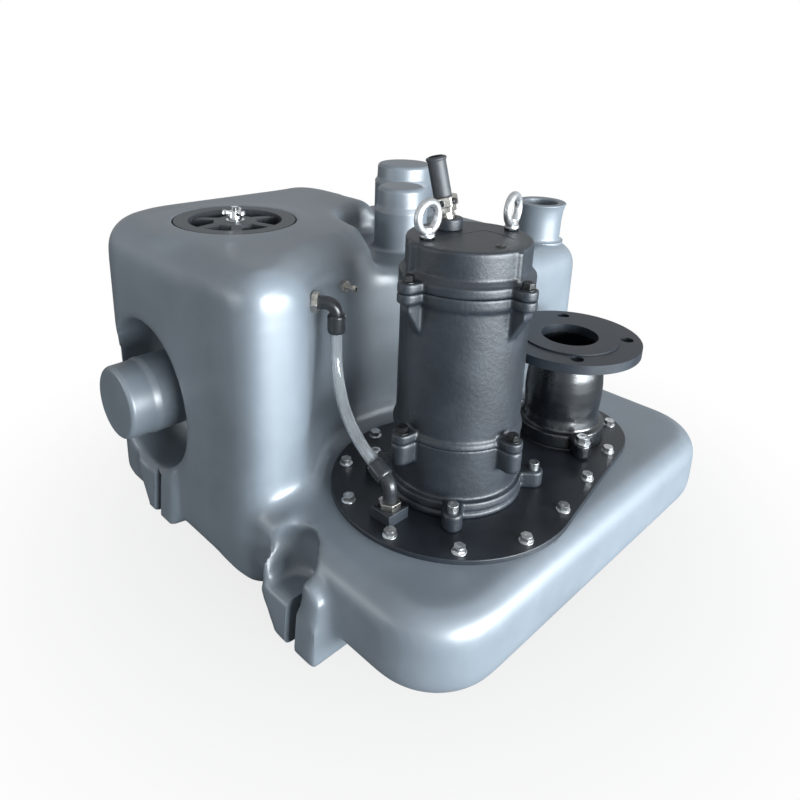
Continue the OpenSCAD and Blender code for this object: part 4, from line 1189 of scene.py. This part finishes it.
HOSE_ROUTE = (
    (-185, -58, 329), (-185, -58, 316), (-187, -61, 290), (-191, -72, 262),
    (-196, -90, 236), (-200, -114, 216), (-203, -137, 203.5), (-203.5, -150.1, 196.7),
)
HOSE_R = 7.5


def smooth_route(points, steps=5):
    """Points of a smooth line through the route."""
    p = [Vector(q) for q in points]
    p = [2 * p[0] - p[1]] + p + [2 * p[-1] - p[-2]]
    line = []
    for a, b, c, d in zip(p, p[1:], p[2:], p[3:]):
        for k in range(steps):
            t = k / steps
            line.append(
                0.5 * (2 * b + (c - a) * t + (2 * a - 5 * b + 4 * c - d) * t * t
                       + (3 * b - a - 3 * c + d) * t ** 3)
            )
    line.append(p[-2])
    return line


class StationHose(Group, bpy.types.Operator):
    """Clear vent hose between its two elbows"""

    bl_idname = "station.hose"
    bl_label = "Vent hose"

    def build(self):
        line = [q * MM for q in smooth_route(HOSE_ROUTE)]
        curve = bpy.data.curves.new("vent_line", "CURVE")
        curve.dimensions = "3D"
        curve.bevel_depth = HOSE_R * MM
        curve.bevel_resolution = 8
        curve.use_fill_caps = False
        spline = curve.splines.new("POLY")
        spline.points.add(len(line) - 1)
        for point, q in zip(spline.points, line):
            point.co = (*q, 1)
        spline.use_smooth = True
        hose = bpy.data.objects.new("vent_line", curve)
        bpy.context.scene.collection.objects.link(hose)
        wall = hose.modifiers.new("wall", "SOLIDIFY")
        wall.thickness = sizes().hose_wall * MM
        wall.offset = -1
        curve.materials.append(finish("hose"))
        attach(hose, "station")
        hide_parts("vent_hose")
        reach = sum((b - a).length for a, b in zip(line, line[1:]))


ELBOW_R = 8.5
LOW_BEND = (12, 16, 62)
TOP_BEND = (8, 14, 90)


def elbow(leg, radius, angle):
    """Straight leg and a bend after it."""
    form = rod(ELBOW_R, 0, leg + 0.5, 40)
    return form.add(bend(radius, ELBOW_R, angle, 18, 40), up(leg))


def after_elbow(leg, radius, angle):
    """Place at the end of an elbow, with +Z going on from it."""
    a = math.radians(angle)
    return (Matrix.Translation((0, radius * (1 - math.cos(a)), leg + radius * math.sin(a)))
            @ tilt("X", -angle))


class StationVent(Group, bpy.types.Operator):
    """Vent block, push-in elbows, collars and their nuts"""

    bl_idname = "station.vent"
    bl_label = "Vent fittings"

    def build(self):
        box = solid(block(-16, 16, -16, 16, 0, 15), at(BLOCK), soft=0.9)
        piece(box, "vent_seat", "casting", "vent_block")
        low = at(BLOCK) @ up(23)
        nut = solid(hexagon(24, 15, 23), at(BLOCK), soft=0.8)
        piece(nut, "lower_nut", "nickel", "lower_elbow_nut")
        piece(elbow(*LOW_BEND).placed(low), "lower_bend", "fitting", "lower_elbow")
        collar = [(0, 0), (10, 0), (11.2, 1.5), (11.5, 3), (11.5, 18), (10.8, 21), (10, 22), (0, 22)]
        end = low @ after_elbow(*LOW_BEND)
        piece(solid(lathe(collar, 40), end), "lower_sleeve", "fitting", "lower_collar")
        top = on_bay(130, LOW_TOP) @ up(0.7) @ tilt("Z", 90)
        nut = solid(hexagon(24, 0, 8), top, soft=0.8)
        piece(nut, "upper_nut", "nickel", "upper_elbow_nut")
        piece(elbow(*TOP_BEND).placed(top @ up(8)), "upper_bend", "fitting", "upper_elbow")
        end = top @ up(8) @ after_elbow(*TOP_BEND)
        collar = [(r, z * 24 / 22) for r, z in collar]
        piece(solid(lathe(collar, 40), end), "upper_sleeve", "fitting", "upper_collar")
        port = on_bay(101, 359) @ up(0.35)
        barb = solid(hexagon(15, 0, 7), soft=0.6)
        barb.add(pipe(3.5, 2, 5, 22, 32))
        barb.add(pipe(4.6, 2, 18, 19, 32), soft=0.2)
        barb.add(lathe([(2, 19), (4.6, 19), (3.6, 23), (2, 23)], 32, True), soft=0.2)
        piece(barb.placed(port), "level_barb", "nickel", "level_port")


# Inspection lid

LID_TOP = 423.0
NUT_GAP = 0.3


class StationLid(Group, bpy.types.Operator):
    """Inspection lid with its ribs and hub, and the wing nut on its stud"""

    bl_idname = "station.lid"
    bl_label = "Inspection lid"

    def build(self):
        place = at(LID)
        rim = Form()
        band = [(65, 404), (74.5, 404), (74.5, 418.5), (84.5, 418.5), (84.5, LID_TOP), (65, LID_TOP)]
        rim.add(lathe(band, 96, True), soft=0.7)
        rim.add(lathe([(0, 403), (34, 403), (30, 421), (0, 421)], 64), soft=1.0)
        for turn in range(0, 360, 60):
            rib = slab([(24, 421), (66, 418), (66, 403), (24, 403)], -7, 7)
            rim.add(rib, tilt("Z", turn) @ tilt("X", 90), soft=0.8)
        piece(rim.placed(place), "lid_cover", "lid", "inspection_lid", body="lid")
        # The dish is lid plastic drawn in the darker rubber look: painted shade in the lid's recess
        dish = rod(74, 398.5, 404.2, 96, place)
        piece(dish, "lid_dish", "rubber", body="lid", slot="lid_plastic")
        washer = solid(pipe(13, 5.5, 421, LID_TOP, 40), place, soft=0.4)
        piece(washer, "lid_washer", "chrome", "stud_washer", body="lid")
        nut = Form()
        low = LID_TOP + NUT_GAP
        nut.add(lathe([(5.05, low), (10, low), (8.5, 435), (5.05, 435)], 40, True), soft=0.8)
        for turn in (40, 160, 280):
            lobe = slab([(4, -5)] + arc(14, 0, 5.5, -90, 90, 8) + [(4, 5)], 0, 7)
            nut.add(lobe, tilt("Z", turn) @ up(426) @ tilt("Y", -14), soft=1.8)
        piece(nut.placed(place), "wing_grip", "chrome", "wing_nut", body="wing_nut")


# Pieces that keep the CAD mesh

KEPT = {
    "backing_ring": "steel", "stator": "copper", "rotor_core": "steel", "shaft": "steel",
    "upper_bearing": "steel", "lower_bearing": "steel", "mechanical_seal": "rubber",
    "impeller": "bare_cast", "impeller_nut": "steel", "volute": "bare_cast",
    "suction_plate": "bare_cast", "suction_screws": "zinc", "valve_gasket": "rubber",
    "valve_flap": "rubber", "flap_pin": "steel", "block_screws": "dark_steel",
    "level_tube": "lid", "lid_seal": "rubber", "clamp_bar": "steel", "clamp_stud": "chrome",
}


class StationInside(Group, bpy.types.Operator):
    """Finishes on the inner works that keep their plain shape"""

    bl_idname = "station.inside"
    bl_label = "Inner works"

    def build(self):
        for node, name in KEPT.items():
            mesh = CAD[node].data
            mesh.materials.clear()
            mesh.materials.append(finish(name))


# Studio

CAMERA_PLACE = (-0.70656, -0.67084, 0.66523)
CAMERA_RIGHT = Vector((0.6991, -0.7139, 0.0401))
CAMERA_UP = Vector((0.1998, 0.2489, 0.9477))
CAMERA_BACK = Vector((-0.6865, -0.6545, 0.3166))
CAMERA_LENS = 31.75
CAMERA_SHIFT = (-0.0085, -0.1476)
SKY, SKY_STRENGTH = (0.86, 0.94, 1.0, 1), 0.42
SURROUND_SHARES = (("Is Glossy Ray", 0.38), ("Is Transmission Ray", 1.0))
LIGHTS = (
    ("window", (0.1, -3.1, 0.55), (-0.1, -0.1, 0.25), (3.2, 1.2), 345, (0.89, 0.955, 1)),
    ("side", (-2.9, 1.4, 0.3), (-0.3, 0.1, 0.22), (1.8, 1.2), 20, (0.9, 0.96, 1)),
)


def photo_camera(scene):
    """Camera that sees the station as the photograph does."""
    view = bpy.data.cameras.new("photo view")
    view.sensor_width = 36.0
    view.lens = CAMERA_LENS
    view.shift_x, view.shift_y = CAMERA_SHIFT
    view.clip_start = 0.01
    camera = bpy.data.objects.new("photo view", view)
    turn = Matrix((CAMERA_RIGHT, CAMERA_UP, CAMERA_BACK)).transposed()
    camera.matrix_world = Matrix.Translation(CAMERA_PLACE) @ turn.to_4x4()
    scene.collection.objects.link(camera)
    scene.camera = camera


def area_light(scene, name, place, target, size, power, tint):
    data = bpy.data.lights.new(name, "AREA")
    data.shape = "RECTANGLE"
    data.size, data.size_y = size
    data.energy = power
    data.color = tint
    lamp = bpy.data.objects.new(name, data)
    lamp.location = place
    aim = Vector(target) - Vector(place)
    lamp.rotation_mode = "QUATERNION"
    lamp.rotation_quaternion = aim.to_track_quat("-Z", "Y")
    scene.collection.objects.link(lamp)


def studio_white(name, colour):
    """Pale matt floor that keeps the shadow and fades into the white surround."""
    f = Finish(name)
    f.set(Base_Color=tuple(colour), Roughness=0.9)
    middle = f.node("ShaderNodeMapping", {}, {"Vector": f.place, "Scale": (1.3, 1.3, 1.3)})
    away = f.node("ShaderNodeTexGradient", {"gradient_type": "SPHERICAL"}, {0: middle}, 1)
    seen = f.node("ShaderNodeLightPath", {}, {}, "Is Camera Ray")
    glow = f.node("ShaderNodeEmission", {}, {0: (1, 1, 1, 1), 1: 1.0})
    share = seen * (1.0 - 0.2 * away.ramp(0.0, 0.75))
    blend = f.node("ShaderNodeMixShader", {}, {0: share, 1: Value(f, f.shader.outputs[0]), 2: glow})
    f.feed(f.out.inputs[0], blend)
    return f.material


def floor(scene):
    bm = bmesh.new()
    bmesh.ops.create_grid(bm, x_segments=1, y_segments=1, size=6.0)
    mesh = bpy.data.meshes.new("studio_floor")
    bm.to_mesh(mesh)
    bm.free()
    ground = bpy.data.objects.new("studio_floor", mesh)
    scene.collection.objects.link(ground)
    mesh.materials.append(studio_white("floor", scene.station_colours.floor))


def surround(scene):
    """White to the camera, dimmer in reflections, and a cool sky for the rest."""
    world = bpy.data.worlds.new("studio")
    sky = Shading(world)
    seen = sky.node("ShaderNodeLightPath", {}, {}, "Is Camera Ray")
    for kind, share in SURROUND_SHARES:
        seen = seen.math("MAXIMUM", seen, sky.node("ShaderNodeLightPath", {}, {}, kind) * share)
    dim = sky.node("ShaderNodeBackground", {}, {0: SKY, 1: SKY_STRENGTH})
    white = sky.node("ShaderNodeBackground", {}, {0: (1, 1, 1, 1), 1: 1.0})
    blend = sky.node("ShaderNodeMixShader", {}, {0: seen, 1: dim, 2: white})
    sky.feed(sky.tree.nodes.new("ShaderNodeOutputWorld").inputs[0], blend)
    scene.world = world


class StationStage(Group, bpy.types.Operator):
    """Camera, pale floor, white surround and studio lights"""

    bl_idname = "station.stage"
    bl_label = "Studio"

    def build(self):
        scene = bpy.context.scene
        photo_camera(scene)
        floor(scene)
        surround(scene)
        for light in LIGHTS:
            area_light(scene, *light)
        scene.view_settings.view_transform = "Standard"


# Panel and start

OPERATORS = (
    StationTank, StationStubs, StationPlate, StationOilChamber, StationMotor, StationCover,
    StationEyes, StationGland, StationValve, StationHose, StationVent, StationLid,
    StationInside, StationStage,
)


class StationPanel(bpy.types.Panel):
    """Sizes, colours and pieces of the lifting station"""

    bl_idname = "STATION_PT_pieces"
    bl_label = "Lifting station"
    bl_space_type = "VIEW_3D"
    bl_region_type = "UI"
    bl_category = "Station"

    def draw(self, context):
        column = self.layout.column(align=True)
        for group in (context.scene.station_sizes, context.scene.station_colours):
            for name in group.__annotations__:
                column.prop(group, name)
        for operator in OPERATORS:
            column.operator(operator.bl_idname)


CLASSES = (StationSizes, StationColours) + OPERATORS + (StationPanel,)


BUILD_ORDER = (
    "stage", "hose", "vent", "tank", "stubs", "plate", "oil_chamber", "motor", "cover", "eyes",
    "gland", "valve", "lid", "inside",
)


def register():
    for made in CLASSES:
        bpy.utils.register_class(made)
    bpy.types.Scene.station_sizes = PointerProperty(type=StationSizes)
    bpy.types.Scene.station_colours = PointerProperty(type=StationColours)


def unregister():
    del bpy.types.Scene.station_colours
    del bpy.types.Scene.station_sizes
    for made in reversed(CLASSES):
        bpy.utils.unregister_class(made)


def main():
    register()
    for group in BUILD_ORDER:
        getattr(bpy.ops.station, group)()


if __name__ == "__main__":
    main()
